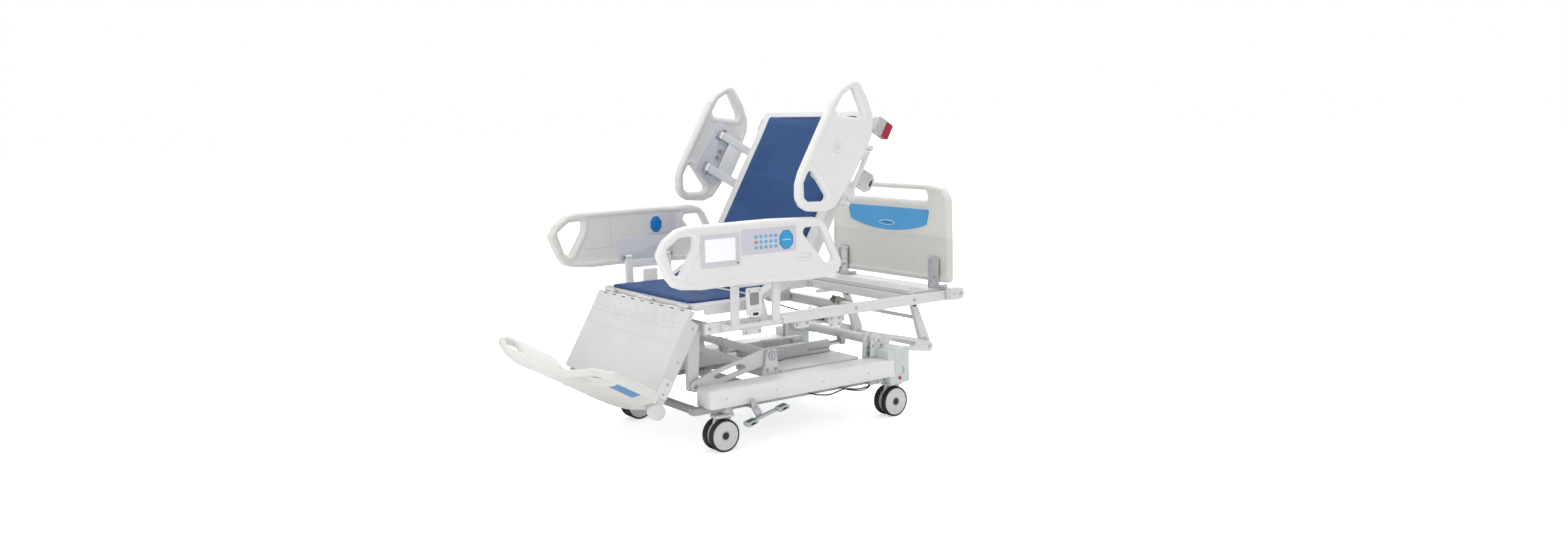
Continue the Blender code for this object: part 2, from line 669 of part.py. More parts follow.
def pad(name, frame, start, end, parent):
    outline = [(start, -HALF_PAD), (end, -HALF_PAD), (end, HALF_PAD), (start, HALF_PAD)]
    finish(name, BLUE, [plate(rounded(outline, 0.018), DECK_T + GAP, DECK_T + PAD_T, frame)],
           parent)


def thigh_section():
    deck("thigh_section", THIGH, THIGH_LENGTH - EDGE,
         [(0.0, KNUCKLES_A), (THIGH_LENGTH, KNUCKLES_B)],
         flange=(0.05, THIGH_LENGTH - 0.055), depth=0.036, parent=thigh_group)
    pad("thigh_pad", THIGH, PAD_EDGE, THIGH_LENGTH - 0.020, thigh_group)


def hip_section():
    lever = [side_plate(HIP_LEVER, *y, HIP) for y in fork_plates(BACK_MOTOR_Y)]
    deck("hip_section", HIP, HIP_LENGTH - EDGE, [(HIP_LENGTH, KNUCKLES_A)],
         flange=(0.05, HIP_LENGTH - 0.04), extra=lever, parent=hip_group)
    pad("hip_pad", HIP, PAD_EDGE, HIP_LENGTH - PAD_EDGE, hip_group)


def back_section():
    lugs = []
    for sign in SIDES.values():
        outline = [(sign * y, z) for y, z in BACK_LUG]
        lugs += [cross_plate(outline, *along, BACK) for along in BACK_LUGS_ALONG]
    deck("back_section", BACK, BACK_LENGTH, [(0.0, KNUCKLES_B)],
         flange=(0.04, BACK_LENGTH - 0.02), extra=lugs, parent=back_group)
    pad("back_pad", BACK, PAD_EDGE, BACK_LENGTH - 0.030, back_group)


def calf_section():
    deck("calf_section", CALF, CALF_LENGTH, [(0.0, KNUCKLES_A)],
         flange=(0.050, CALF_LENGTH - 0.002), depth=0.060, parent=calf_group)


thigh_section()
hip_section()
back_section()
calf_section()

# ---------------------------------------------------------------- footboard
BULGE = 0.062                   # bow of the board, outwards at its middle
BOARD_T = 0.036
BOARD_UP = (-0.032, 0.385)      # low and high edge of the bowed slab
BOARD_HALF = 0.530
FLAT_HALF = 0.080               # half width of the straight middle
BOW_HALF = 0.462                # where the bowed face is level with the calf section's end
BOW_STEPS = 14
# (across, up)
FOOTBOARD = [
    (-BOARD_HALF, 0.030), (-0.388, 0.004), (-0.378, -0.0315),
    (0.378, -0.0315), (0.388, 0.004), (BOARD_HALF, 0.030),
    (BOARD_HALF, 0.290), (BOARD_HALF - 0.060, 0.366), (0.300, 0.3845),
    (-0.300, 0.3845), (-BOARD_HALF + 0.060, 0.366), (-BOARD_HALF, 0.290),
]
GRIP_HOLE = [(0.352, 0.276), (0.494, 0.250), (0.474, 0.332), (0.360, 0.352)]


def board_line(y):
    """Distance down the calf to the footboard's inner face: curved back at the sides."""
    t = max(0.0, (abs(y) - FLAT_HALF) / (BOW_HALF - FLAT_HALF))
    return CALF_LENGTH + GAP + BULGE * (1.0 - t * t)


def footboard():
    stations = [(BOARD_HALF + 0.012) * (2 * i / BOW_STEPS - 1) for i in range(BOW_STEPS + 1)]
    bow = [(board_line(y), y) for y in stations]
    bow += [(board_line(y) + BOARD_T, y) for y in reversed(stations)]
    slab = plate(bow, *BOARD_UP, CALF)
    profile = cross_plate(rounded(FOOTBOARD, 0.035), CALF_LENGTH - 0.05, CALF_LENGTH + 0.20, CALF)
    slab = combined(slab, [profile], "INTERSECT")
    grips = []
    for t in (-1, 1):
        outline = rounded([(t * y, z) for y, z in GRIP_HOLE], 0.014)
        grips.append(cross_plate(outline, CALF_LENGTH - 0.06, CALF_LENGTH + 0.22, CALF))
    # ties the board to the calf section across the gap left by its curve
    sill = box((CALF_LENGTH + GAP, CALF_LENGTH + BULGE + 0.010), (-0.300, 0.300),
               (-0.028, -0.006), CALF)
    finish("footboard", WARM, [slab, sill], calf_group, cuts=grips)


def foot_bumper(tag, sign):
    """A roller on a flat arm; across is -Y in the calf frame."""
    finish(f"foot_bumper_{tag}", WHITE, [
        rod((0.470, -sign * 0.405, -0.035), (0.470, -sign * 0.455, -0.035), 0.036, CALF,
            segments=20),
        box((CALF_LENGTH - 0.0015, 0.455), both(-sign, 0.4175, 0.4300), (-0.056, -0.020), CALF),
    ], calf_group, smooth=True)


footboard()
for side_tag, side_sign in SIDES.items():
    foot_bumper(side_tag, side_sign)

# ---------------------------------------------------------------- headboard
HEAD_HALF = 0.470
HEADBOARD_Z = 0.6345            # lower edge
# (y, z)
HEADBOARD = [
    (-HEAD_HALF, HEADBOARD_Z), (HEAD_HALF, HEADBOARD_Z), (HEAD_HALF, 0.823),
    (HEAD_HALF - 0.006, 1.060), (HEAD_HALF - 0.045, 1.113), (HEAD_HALF - 0.150, 1.126),
    (-HEAD_HALF + 0.150, 1.126), (-HEAD_HALF + 0.045, 1.113), (-HEAD_HALF + 0.006, 1.060),
    (-HEAD_HALF, 0.823),
]
HEADBOARD_SLOT = [(-0.316, 1.043), (0.316, 1.043), (0.300, 1.096), (-0.300, 1.096)]
INLAY_HALF, INLAY_Z, INLAY_SAG = 0.336, 0.934, 0.058   # sagging lower edge
INLAY_TOP_HALF, INLAY_TOP_Z = 0.329, 0.9985
INLAY_STEPS = 8


def inlay_outline():
    """Outline (y, z) with a straight top and a sagging lower edge."""
    points = [(-INLAY_TOP_HALF, INLAY_TOP_Z)]
    for i in range(INLAY_STEPS + 1):
        t = i / INLAY_STEPS
        points.append((-INLAY_HALF + 2 * INLAY_HALF * t,
                       INLAY_Z - INLAY_SAG * math.sin(math.pi * t) ** 0.7))
    return points + [(INLAY_TOP_HALF, INLAY_TOP_Z)]


def headboard():
    face = BOARD_X[0]
    board = joint("headboard_group", (0.84, 0, HEADBOARD_Z), upper_group)
    pocket = cross_plate([(y * 1.003, z) for y, z in inlay_outline()], face - 0.01, face + 0.0055)
    slot = rounded(HEADBOARD_SLOT, 0.014)
    finish("headboard", WARM, [cross_plate(rounded(HEADBOARD, 0.020), *BOARD_X, holes=[slot])],
           board, cuts=[pocket])
    # the inlay is a little smaller than its pocket
    inlay = [(y, 0.937 + (z - 0.937) * 0.985) for y, z in inlay_outline()]
    finish("headboard_inlay", INLAY, [cross_plate(inlay, face - 0.002, face + 0.0050)], board)


def headboard_socket(tag, sign):
    finish(f"headboard_socket_{tag}", STEEL, [
        box((0.808, BOARD_X[0] - GAP), both(sign, 0.330, 0.404), (0.6043, 0.762)),
        box((0.810, 0.880), both(sign, 0.335, 0.400), (0.6039, 0.620)),
    ], upper_group, origin=FLOOR_ORIGIN)


headboard()
for side_tag, side_sign in SIDES.items():
    headboard_socket(side_tag, side_sign)

# ---------------------------------------------------------------- siderails
RAIL_Y = (0.500, 0.545)         # siderail panel, inner and outer face
PIVOT_LOW_Y, PIVOT_HIGH_Y = 0.475, 0.485
PIVOT_R = 0.0110
POCKET_CLEARANCE = 0.0007       # outwards at each corner of a pocket

# Rails are laid out in their frame. Outlines and holes are (along, up); pairs run
# along the rail unless named otherwise; low and high are the pivots' heights.
FOOT_RAIL = SimpleNamespace(
    end="foot", frame=WORLD, parent=upper_group,
    outline=[
        (-0.883, 0.930), (-0.846, 0.988), (-0.787, 1.028), (-0.734, 1.040), (-0.309, 1.043),
        (-0.067, 1.035), (-0.021, 1.023), (0.008, 0.993), (0.090, 0.826), (0.090, 0.802),
        (0.058, 0.767), (0.003, 0.754), (-0.096, 0.751), (-0.459, 0.764), (-0.665, 0.762),
        (-0.764, 0.772), (-0.809, 0.788), (-0.839, 0.825)],
    holes=(
        [(-0.835, 0.945), (-0.772, 0.991), (-0.696, 0.996), (-0.705, 0.943),
         (-0.775, 0.827), (-0.800, 0.844)],
        [(-0.118, 0.990), (-0.030, 0.990), (0.047, 0.834), (0.005, 0.815), (-0.128, 0.967)]),
    joint_along=-0.355, low=0.570, high=0.800,
    arms=((-0.486, -0.446), (-0.264, -0.224)),
    lugs=((-0.498, -0.488), (-0.222, -0.212)),
    tie_up=(0.745, 0.785),
    latch_along=(-0.395, -0.315), latch_y=(0.4590, 0.4735), latch_up=(0.612, 0.735),
    latch_pivot=(0.4660, 0.730),        # (outwards, up)
    latch_on_arm=True,
)
HEAD_RAIL = SimpleNamespace(
    end="head", frame=BACK, parent=back_group,
    outline=[
        (0.815, 0.208), (0.806, 0.241), (0.738, 0.288), (0.670, 0.305), (0.300, 0.307),
        (0.240, 0.297), (0.183, 0.265), (0.160, 0.230), (0.161, 0.184), (0.205, 0.090),
        (0.250, 0.052), (0.330, 0.036), (0.565, 0.018), (0.640, 0.022), (0.705, 0.048),
        (0.765, 0.115)],
    holes=(
        [(0.773, 0.226), (0.711, 0.261), (0.637, 0.265), (0.619, 0.243),
         (0.676, 0.110), (0.700, 0.122)],
        [(0.340, 0.266), (0.264, 0.266), (0.205, 0.230), (0.201, 0.200),
         (0.243, 0.123), (0.268, 0.118)]),
    joint_along=0.45, low=-0.040, high=0.165,
    arms=((0.340, 0.385), (0.530, 0.570)),
    lugs=((0.326, 0.338), (0.572, 0.584)),
    tie_up=(0.020, 0.110),
    latch_along=(0.410, 0.500), latch_y=(0.4470, 0.4740), latch_up=(-0.128, -0.056),
    latch_pivot=(0.4600, -0.058),
    latch_on_arm=False,
)

# (x, z), on the near foot siderail
SCREEN_OUTLINE = rounded([(-0.673, 0.855), (-0.473, 0.855), (-0.473, 0.995), (-0.673, 0.995)],
                         0.012)
KEYPAD_OUTLINE = rounded([(-0.465, 0.895), (-0.172, 0.895), (-0.172, 1.002), (-0.465, 1.002)],
                         0.010)
SCREEN_T, KEYPAD_T = 0.006, 0.003


def rail_arms(rail, tag, sign, arm_group):
    """Two arms on a cross tube, tied by a plate."""
    frame, low, high = rail.frame, rail.low, rail.high
    start, end = rail.arms[0][0], rail.arms[1][1]
    shapes = [rod((start - 0.012, sign * PIVOT_LOW_Y, low), (end + 0.012, sign * PIVOT_LOW_Y, low),
                  0.0115, frame, segments=12)]
    # arms lean outwards a little from the lower to the upper pivot
    outline = [
        (sign * (PIVOT_LOW_Y - 0.009), low), (sign * (PIVOT_LOW_Y + 0.011), low + 0.004),
        (sign * (PIVOT_HIGH_Y + 0.009), high), (sign * (PIVOT_HIGH_Y - 0.009), high),
    ]
    for a0, a1 in rail.arms:
        shapes.append(cross_plate(outline, a0, a1, frame))
        shapes.append(rod((a0 + 0.001, sign * PIVOT_HIGH_Y, high),
                          (a1 - 0.001, sign * PIVOT_HIGH_Y, high), PIVOT_R, frame, segments=12))
    shapes.append(box((start + 0.01, end - 0.01), both(sign, 0.4745, 0.4845), rail.tie_up, frame))
    finish(f"{rail.end}_rail_arms_{tag}", STEEL, shapes, arm_group)


def face_pocket(outline, depth):
    """A cutter for the outer face of the near siderail, slightly wider than outline."""
    corners = [Vector(point) for point in outline]
    middle = sum(corners, Vector((0, 0))) / len(corners)
    wide = [tuple(c + (c - middle).normalized() * POCKET_CLEARANCE) for c in corners]
    return side_plate(wide, -RAIL_Y[1] - 0.01, -RAIL_Y[1] + depth)


def rail_panel(rail, tag, sign, panel_group, pockets):
    holes = [rounded(hole, 0.012) for hole in rail.holes]
    shapes = [side_plate(rounded(rail.outline, 0.022), *both(sign, *RAIL_Y), rail.frame, holes)]
    for along in rail.lugs:
        shapes.append(box(along, both(sign, PIVOT_HIGH_Y - 0.010, RAIL_Y[0] + 0.004),
                          (rail.high - 0.010, rail.high + 0.010), rail.frame))
    finish(f"{rail.end}_rail_{tag}", WHITE if sign < 0 else WARM, shapes, panel_group,
           cuts=pockets, smooth=True)


def rail_latch(rail, tag, sign, parent):
    """Release latch: a flat plate with a thicker lip at its lower edge."""
    a0, a1 = rail.latch_along
    y0, y1 = rail.latch_y
    bottom = rail.latch_up[0]
    pivot_y, pivot_up = rail.latch_pivot
    at = rail.frame @ Vector((a0, sign * pivot_y, pivot_up))
    latch = joint(f"{rail.end}_rail_latch_group_{tag}", at, parent)
    finish(f"{rail.end}_rail_latch_{tag}", MINT, [
        box((a0, a1), both(sign, y0, y1), rail.latch_up, rail.frame),
        box((a0 + 0.012, a1 - 0.012), both(sign, y0 + 0.004, y1 + 0.006),
            (bottom - 0.008, bottom + 0.022), rail.frame),
    ], latch)


def siderail(rail, tag, sign, pockets=()):
    """Arms that turn on the bed, and the panel that turns on the arms' upper ends.
    Returns the panel's joint."""
    low_at = rail.frame @ Vector((rail.joint_along, sign * PIVOT_LOW_Y, rail.low))
    high_at = rail.frame @ Vector((rail.joint_along, sign * PIVOT_HIGH_Y, rail.high))
    arm_group = joint(f"{rail.end}_rail_arm_group_{tag}", low_at, rail.parent)
    panel_group = joint(f"{rail.end}_rail_group_{tag}", high_at, arm_group)
    rail_arms(rail, tag, sign, arm_group)
    rail_panel(rail, tag, sign, panel_group, pockets)
    rail_latch(rail, tag, sign, arm_group if rail.latch_on_arm else rail.parent)
    return panel_group


def face_panel(name, mat, outline, depth, parent):
    """A thin panel let into the outer face of the near foot siderail."""
    finish(name, mat, [side_plate(outline, -RAIL_Y[1], -RAIL_Y[1] + depth - GAP)], parent,
           origin=FLOOR_ORIGIN)


near_panel_group = siderail(FOOT_RAIL, "near", SIDES["near"], [
    face_pocket(SCREEN_OUTLINE, SCREEN_T),
    face_pocket(KEYPAD_OUTLINE, KEYPAD_T),
])
siderail(FOOT_RAIL, "far", SIDES["far"])
for side_tag, side_sign in SIDES.items():
    siderail(HEAD_RAIL, side_tag, side_sign)
face_panel("touch_screen", SCREEN, SCREEN_OUTLINE, SCREEN_T, near_panel_group)
face_panel("keypad", FOIL, KEYPAD_OUTLINE, KEYPAD_T, near_panel_group)


# ---------------------------------------------------------------- CPR release handles
def cpr_handle(tag, sign):
    at = BACK @ Vector((0.72, sign * 0.455, -0.020))
    handle = joint(f"cpr_group_{tag}", at, back_group)
    finish(f"cpr_handle_{tag}", GREY, [
        box((0.680, 0.758), both(sign, 0.4445, 0.486), (-0.082, -0.014), BACK),
        box((0.682, 0.756), both(sign, 0.4460, 0.4845), (-0.112, -0.080), BACK),
    ], handle)


for side_tag, side_sign in SIDES.items():
    cpr_handle(side_tag, side_sign)

# ---------------------------------------------------------------- origin
# everything hangs under the base, so moving it moves the whole bed
base_group.location.x = ORIGIN_SHIFT
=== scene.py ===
import json
import math

import bmesh
import bpy
import numpy as np
from mathutils import Matrix, Vector, geometry
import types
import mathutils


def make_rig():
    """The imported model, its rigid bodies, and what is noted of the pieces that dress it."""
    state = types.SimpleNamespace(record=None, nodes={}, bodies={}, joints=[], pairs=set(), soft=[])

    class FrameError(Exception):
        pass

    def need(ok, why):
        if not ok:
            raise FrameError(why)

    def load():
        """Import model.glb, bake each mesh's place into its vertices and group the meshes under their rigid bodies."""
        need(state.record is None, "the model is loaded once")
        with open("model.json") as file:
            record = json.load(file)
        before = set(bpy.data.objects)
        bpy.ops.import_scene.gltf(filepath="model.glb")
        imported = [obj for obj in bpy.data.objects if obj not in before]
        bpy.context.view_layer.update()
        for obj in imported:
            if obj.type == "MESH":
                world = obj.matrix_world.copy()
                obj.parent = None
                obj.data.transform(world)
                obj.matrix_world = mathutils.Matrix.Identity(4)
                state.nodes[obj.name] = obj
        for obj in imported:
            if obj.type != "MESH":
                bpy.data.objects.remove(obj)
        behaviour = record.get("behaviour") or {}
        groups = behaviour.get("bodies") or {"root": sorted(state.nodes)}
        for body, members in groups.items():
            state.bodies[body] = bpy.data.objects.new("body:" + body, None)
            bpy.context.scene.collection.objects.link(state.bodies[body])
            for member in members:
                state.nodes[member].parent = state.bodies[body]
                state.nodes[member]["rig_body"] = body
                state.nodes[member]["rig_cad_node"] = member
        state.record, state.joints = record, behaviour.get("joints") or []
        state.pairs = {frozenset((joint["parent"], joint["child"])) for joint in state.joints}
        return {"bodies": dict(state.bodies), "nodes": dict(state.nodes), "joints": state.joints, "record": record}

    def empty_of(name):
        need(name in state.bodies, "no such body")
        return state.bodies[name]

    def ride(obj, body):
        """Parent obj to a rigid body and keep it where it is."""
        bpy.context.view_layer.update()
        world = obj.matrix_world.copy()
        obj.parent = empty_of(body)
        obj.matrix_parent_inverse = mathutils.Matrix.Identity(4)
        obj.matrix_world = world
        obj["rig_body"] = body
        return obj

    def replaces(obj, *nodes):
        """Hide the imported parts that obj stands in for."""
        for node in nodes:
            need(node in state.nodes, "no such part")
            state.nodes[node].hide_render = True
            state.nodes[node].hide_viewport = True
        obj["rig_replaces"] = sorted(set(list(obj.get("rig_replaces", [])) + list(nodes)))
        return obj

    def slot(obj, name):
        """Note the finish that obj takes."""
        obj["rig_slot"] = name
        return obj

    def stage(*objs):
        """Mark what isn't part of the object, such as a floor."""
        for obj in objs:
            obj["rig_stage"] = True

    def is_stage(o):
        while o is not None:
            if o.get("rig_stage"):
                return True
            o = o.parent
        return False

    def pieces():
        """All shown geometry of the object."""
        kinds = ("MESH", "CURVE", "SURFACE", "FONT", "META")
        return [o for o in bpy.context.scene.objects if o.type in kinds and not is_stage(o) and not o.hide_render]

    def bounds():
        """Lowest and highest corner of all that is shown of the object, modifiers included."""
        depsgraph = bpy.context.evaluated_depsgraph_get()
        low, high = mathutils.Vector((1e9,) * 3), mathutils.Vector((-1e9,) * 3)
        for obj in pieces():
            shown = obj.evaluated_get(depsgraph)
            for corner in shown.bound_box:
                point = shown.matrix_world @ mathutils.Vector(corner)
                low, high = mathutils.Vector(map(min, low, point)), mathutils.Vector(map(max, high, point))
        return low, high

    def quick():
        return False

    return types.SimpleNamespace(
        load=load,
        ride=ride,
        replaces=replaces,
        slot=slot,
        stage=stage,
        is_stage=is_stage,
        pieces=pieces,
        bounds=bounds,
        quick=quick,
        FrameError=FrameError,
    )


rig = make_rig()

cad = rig.load()
CAD_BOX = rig.bounds()
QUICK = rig.quick()
scene = bpy.context.scene
RAD = math.radians

# ------------------------------------------------------------------ driving dimensions
SIDES = (("near", -1), ("far", 1))          # name, sign of y
CASTOR_X = {"foot": -0.470, "head": 0.530}
CASTOR_Y = 0.390
CASTOR_TRAIL = 0.030                        # wheel axle behind the swivel axis
WHEEL_RADIUS = 0.075
WHEEL_WIDTH = 0.0296                        # one of the two wheels of a castor

FOOT_PIVOT, HEAD_PIVOT = (-0.170, 0.385), (0.430, 0.385)    # lift arms on the base, (x, z)
FOOT_TIP, HEAD_TIP = (-0.575, 0.290), (0.835, 0.290)        # their outer ends
LIFT_ROD_Z = 0.338
FOOT_LIFT_Y, HEAD_LIFT_Y = 0.090, -0.090
BACK_LIFT_Y, BACK_LIFT_Z = 0.100, 0.600
LEVER_REACH = 0.075                         # hip lever, hinge to actuator pin

THIGH_LENGTH, HIP_LENGTH, BACK_LENGTH, CALF_LENGTH = 0.345, 0.325, 0.770, 0.415
BACK_ANGLE = CALF_ANGLE = RAD(60)
DECK_HALF_WIDTH = 0.430
COVER_HALF_WIDTH = 0.360
RAIL_INNER_Y, RAIL_OUTER_Y = 0.500, 0.545   # the siderails' two faces


# ------------------------------------------------------------------ section frames
class Frame:
    """A section's own axes: x along it, y across the bed, z square to it on its upper side."""

    def __init__(self, x, z, along_x, along_z):
        self.origin = np.array([x, 0.0, z])
        self.along = np.array([along_x, 0.0, along_z]) / math.hypot(along_x, along_z)
        normal = np.array([-self.along[2], 0.0, self.along[0]])
        self.normal = -normal if normal[2] < 0 else normal
        self.left_handed = np.linalg.det(np.stack([self.along, [0, 1, 0], self.normal])) < 0

    def to_world(self, points):
        return (self.origin + points[:, :1] * self.along
                + points[:, 1:2] * np.array([0.0, 1.0, 0.0]) + points[:, 2:3] * self.normal)


JOINTS = {j["name"]: j for j in cad["joints"]}


def joint_at(name):
    return Vector(JOINTS[name]["pos_m"])


BASE_X = ((joint_at("castor_swivel_foot_near").x + joint_at("castor_swivel_head_near").x) / 2
          - sum(CASTOR_X.values()) / 2)
HIP_JOINT, KNEE_JOINT, BACK_JOINT = joint_at("hip"), joint_at("calf"), joint_at("back")
BASE = Frame(BASE_X, 0.0, 1.0, 0.0)
THIGH = Frame(HIP_JOINT.x, HIP_JOINT.z, -1.0, 0.0)
HIP = Frame(HIP_JOINT.x, HIP_JOINT.z, BACK_JOINT.x - HIP_JOINT.x, BACK_JOINT.z - HIP_JOINT.z)
BACK = Frame(BACK_JOINT.x, BACK_JOINT.z, math.cos(BACK_ANGLE), math.sin(BACK_ANGLE))
CALF = Frame(KNEE_JOINT.x, KNEE_JOINT.z, -math.cos(CALF_ANGLE), -math.sin(CALF_ANGLE))


# ------------------------------------------------------------------ outlines in two dimensions
def span(side, lo, hi):
    """The y range from lo to hi on one side of the bed, lowest first."""
    return (lo, hi) if side > 0 else (-hi, -lo)


def rounded(points, radius, steps=4):
    """A closed outline with its corners replaced by arcs. radius may be one per corner."""
    out = []
    for i in range(len(points)):
        wanted = radius[i] if isinstance(radius, (list, tuple)) else radius
        before, corner, after = (np.array(points[(i + k) % len(points)], float)
                                 for k in (-1, 0, 1))
        a, b = before - corner, after - corner
        len_a, len_b = np.linalg.norm(a), np.linalg.norm(b)
        a, b = a / len_a, b / len_b
        half = math.acos(max(-1.0, min(1.0, float(a @ b)))) / 2
        if half > RAD(88.5) or wanted <= 0:
            out.append(tuple(corner))
            continue
        cut = min(wanted / math.tan(half), 0.47 * len_a, 0.47 * len_b)
        r = cut * math.tan(half)
        centre = corner + (a + b) / np.linalg.norm(a + b) * (r / math.sin(half))
        s, e = corner + a * cut - centre, corner + b * cut - centre
        turn = math.atan2(s[0] * e[1] - s[1] * e[0], s @ e)
        for k in range(steps + 1):
            cos, sin = math.cos(turn * k / steps), math.sin(turn * k / steps)
            out.append((centre[0] + s[0] * cos - s[1] * sin, centre[1] + s[0] * sin + s[1] * cos))
    return out


def rect(xs, ys, radius, steps=4):
    corners = [(xs[0], ys[0]), (xs[1], ys[0]), (xs[1], ys[1]), (xs[0], ys[1])]
    return rounded(corners, radius, steps)


def ellipse(cx, cy, rx, ry, count):
    turns = [2 * math.pi * k / count for k in range(count)]
    return [(cx + rx * math.cos(t), cy + ry * math.sin(t)) for t in turns]


def octagon(cx, cy, rx, ry):
    turns = [RAD(22.5 + 45 * k) for k in range(8)]
    return [(cx + rx * math.cos(t), cy + ry * math.sin(t)) for t in turns]


def arch(pivot, foot_half, foot_z, shoulder_half, radius):
    """Outline of an upright plate with a round top about a pivot."""
    x, z = pivot
    crown = [(x + radius * math.cos(RAD(a)), z + radius * math.sin(RAD(a)))
             for a in range(10, 171, 20)]
    return [(x - foot_half, foot_z), (x + foot_half, foot_z), (x + shoulder_half, z),
            *crown, (x - shoulder_half, z)]


def bar_axes(start, end):
    """Start, length, direction along and direction square to a sloping bar."""
    start, end = Vector(start), Vector(end)
    along = (end - start).normalized()
    return start, (end - start).length, along, Vector((-along.y, along.x))


def on_bar(origin, along, up, points):
    return [tuple(origin + along * a + up * b) for a, b in points]


def resample(loop, step):
    """The closed outline with no stretch longer than step."""
    out = []
    for i in range(len(loop)):
        p, q = np.array(loop[i], float), np.array(loop[(i + 1) % len(loop)], float)
        count = max(1, int(math.ceil(np.linalg.norm(q - p) / step)))
        out += [tuple(p + (q - p) * j / count) for j in range(count)]
    return out


def area(loop):
    p = np.array(loop, float)
    q = np.roll(p, -1, 0)
    return 0.5 * float((p[:, 0] * q[:, 1] - q[:, 0] * p[:, 1]).sum())


def anticlockwise(loop):
    return loop[::-1] if area(loop) < 0 else loop


def inset(loop, depth, hole=False):
    """The outline moved into the material by depth."""
    p = np.array(loop, float)
    if (area(loop) < 0) != hole:
        depth = -depth
    e0, e1 = p - np.roll(p, 1, 0), np.roll(p, -1, 0) - p
    e0 /= np.maximum(np.linalg.norm(e0, axis=1), 1e-12)[:, None]
    e1 /= np.maximum(np.linalg.norm(e1, axis=1), 1e-12)[:, None]
    n0, n1 = np.stack([-e0[:, 1], e0[:, 0]], 1), np.stack([-e1[:, 1], e1[:, 0]], 1)
    mitre = n0 + n1
    mitre /= np.maximum(np.linalg.norm(mitre, axis=1), 1e-9)[:, None]
    # the floor keeps sharp corners from shooting away
    stretch = np.maximum((mitre * n0).sum(1), 0.35)
    return p + mitre * (depth / stretch)[:, None]


def edge_distance(points, loops):
    """Distance from each point to the nearest outline."""
    start = np.concatenate([np.array(q, float) for q in loops])
    end = np.concatenate([np.roll(np.array(q, float), -1, 0) for q in loops])
    step = end - start
    length2 = np.maximum((step ** 2).sum(1), 1e-18)
    out = np.full(len(points), 1e9)
    for i in range(0, len(points), 1500):    # in batches, to limit memory
        p = points[i:i + 1500]
        t = ((p[:, None, :] - start[None]) * step[None]).sum(2) / length2
        nearest = start[None] + step[None] * np.clip(t, 0, 1)[..., None]
        out[i:i + 1500] = np.sqrt(((p[:, None, :] - nearest) ** 2).sum(2)).min(1)
    return out


def inside(points, loop):
    q = np.array(loop, float)
    r = np.roll(q, -1, 0)
    x, y = points[:, 0][:, None], points[:, 1][:, None]
    crosses = (q[:, 1] > y) != (r[:, 1] > y)
    with np.errstate(divide="ignore", invalid="ignore"):
        hit_x = (r[:, 0] - q[:, 0]) * (y - q[:, 1]) / (r[:, 1] - q[:, 1]) + q[:, 0]
    return (np.count_nonzero(crosses & (x < hit_x), axis=1) % 2) == 1


def in_panel(points, loops):
    """Inside the first loop and outside the others, which are holes."""
    ok = inside(points, loops[0])
    for hole in loops[1:]:
        ok &= ~inside(points, hole)
    return ok


def near_any(points, others, reach):
    return (np.abs(points[:, None] - others[None]).max(2) < reach).any(1)


def smoothstep(t):
    t = np.clip(t, 0, 1)
    return t * t * (3 - 2 * t)


def dome(r):
    """A rounded edge: height against distance from the edge, up to r."""
    return lambda d: r * np.sqrt(np.clip(1 - (1 - np.clip(d / r, 0, 1)) ** 2, 0, 1))


# ------------------------------------------------------------------ shapes: (points, faces)
# Points are in a frame's own (x, y, z).
PLANES = {
    "side": lambda x, y, t: np.stack([x, t, y], 1),      # outline (x, z), thickness along y
    "end": lambda x, y, t: np.stack([t, x, y], 1),       # outline (y, z), thickness along x
    "top": lambda x, y, t: np.stack([x, y, t], 1),       # outline (x, y), thickness along z
}


def signed_volume(verts, faces):
    total = 0.0
    for q in faces:
        for i in range(1, len(q) - 1):
            total += float(np.dot(verts[q[0]], np.cross(verts[q[i]], verts[q[i + 1]])))
    return total


def outward(verts, faces):
    verts = np.asarray(verts, float)
    if signed_volume(verts - verts.mean(0), faces) < 0:
        faces = [tuple(reversed(q)) for q in faces]
    return verts, faces


def to_bmesh(verts, faces):
    bm = bmesh.new()
    made = [bm.verts.new(p) for p in verts]
    for q in faces:
        try:
            bm.faces.new([made[i] for i in q])
        except ValueError:      # the same face twice, where an outline touches itself
            pass
    return bm


def from_bmesh(bm):
    bm.verts.ensure_lookup_table()
    bm.verts.index_update()
    verts = np.array([v.co for v in bm.verts])
    faces = [tuple(v.index for v in face.verts) for face in bm.faces]
    bm.free()
    return outward(verts, faces)


def box(xs, ys, zs, bevel=0.0025, steps=2):
    spans = (xs, ys, zs)
    bm = bmesh.new()
    bmesh.ops.create_cube(bm, size=1.0)
    for v in bm.verts:
        v.co = Vector([(lo + hi) / 2 + v.co[i] * (hi - lo) for i, (lo, hi) in enumerate(spans)])
    bevel = min(bevel, 0.45 * min(hi - lo for lo, hi in spans))
    bmesh.ops.bevel(bm, geom=bm.edges[:], offset=bevel, segments=steps, profile=0.5,
                    affect="EDGES")
    return from_bmesh(bm)


def basis(axis):
    """Two unit vectors square to the axis, and the axis itself at unit length."""
    axis = np.asarray(axis, float)
    axis = axis / np.linalg.norm(axis)
    helper = np.array([0.0, 0.0, 1.0]) if abs(axis[2]) < 0.9 else np.array([1.0, 0.0, 0.0])
    e1 = np.cross(helper, axis)
    e1 /= np.linalg.norm(e1)
    return e1, np.cross(axis, e1), axis


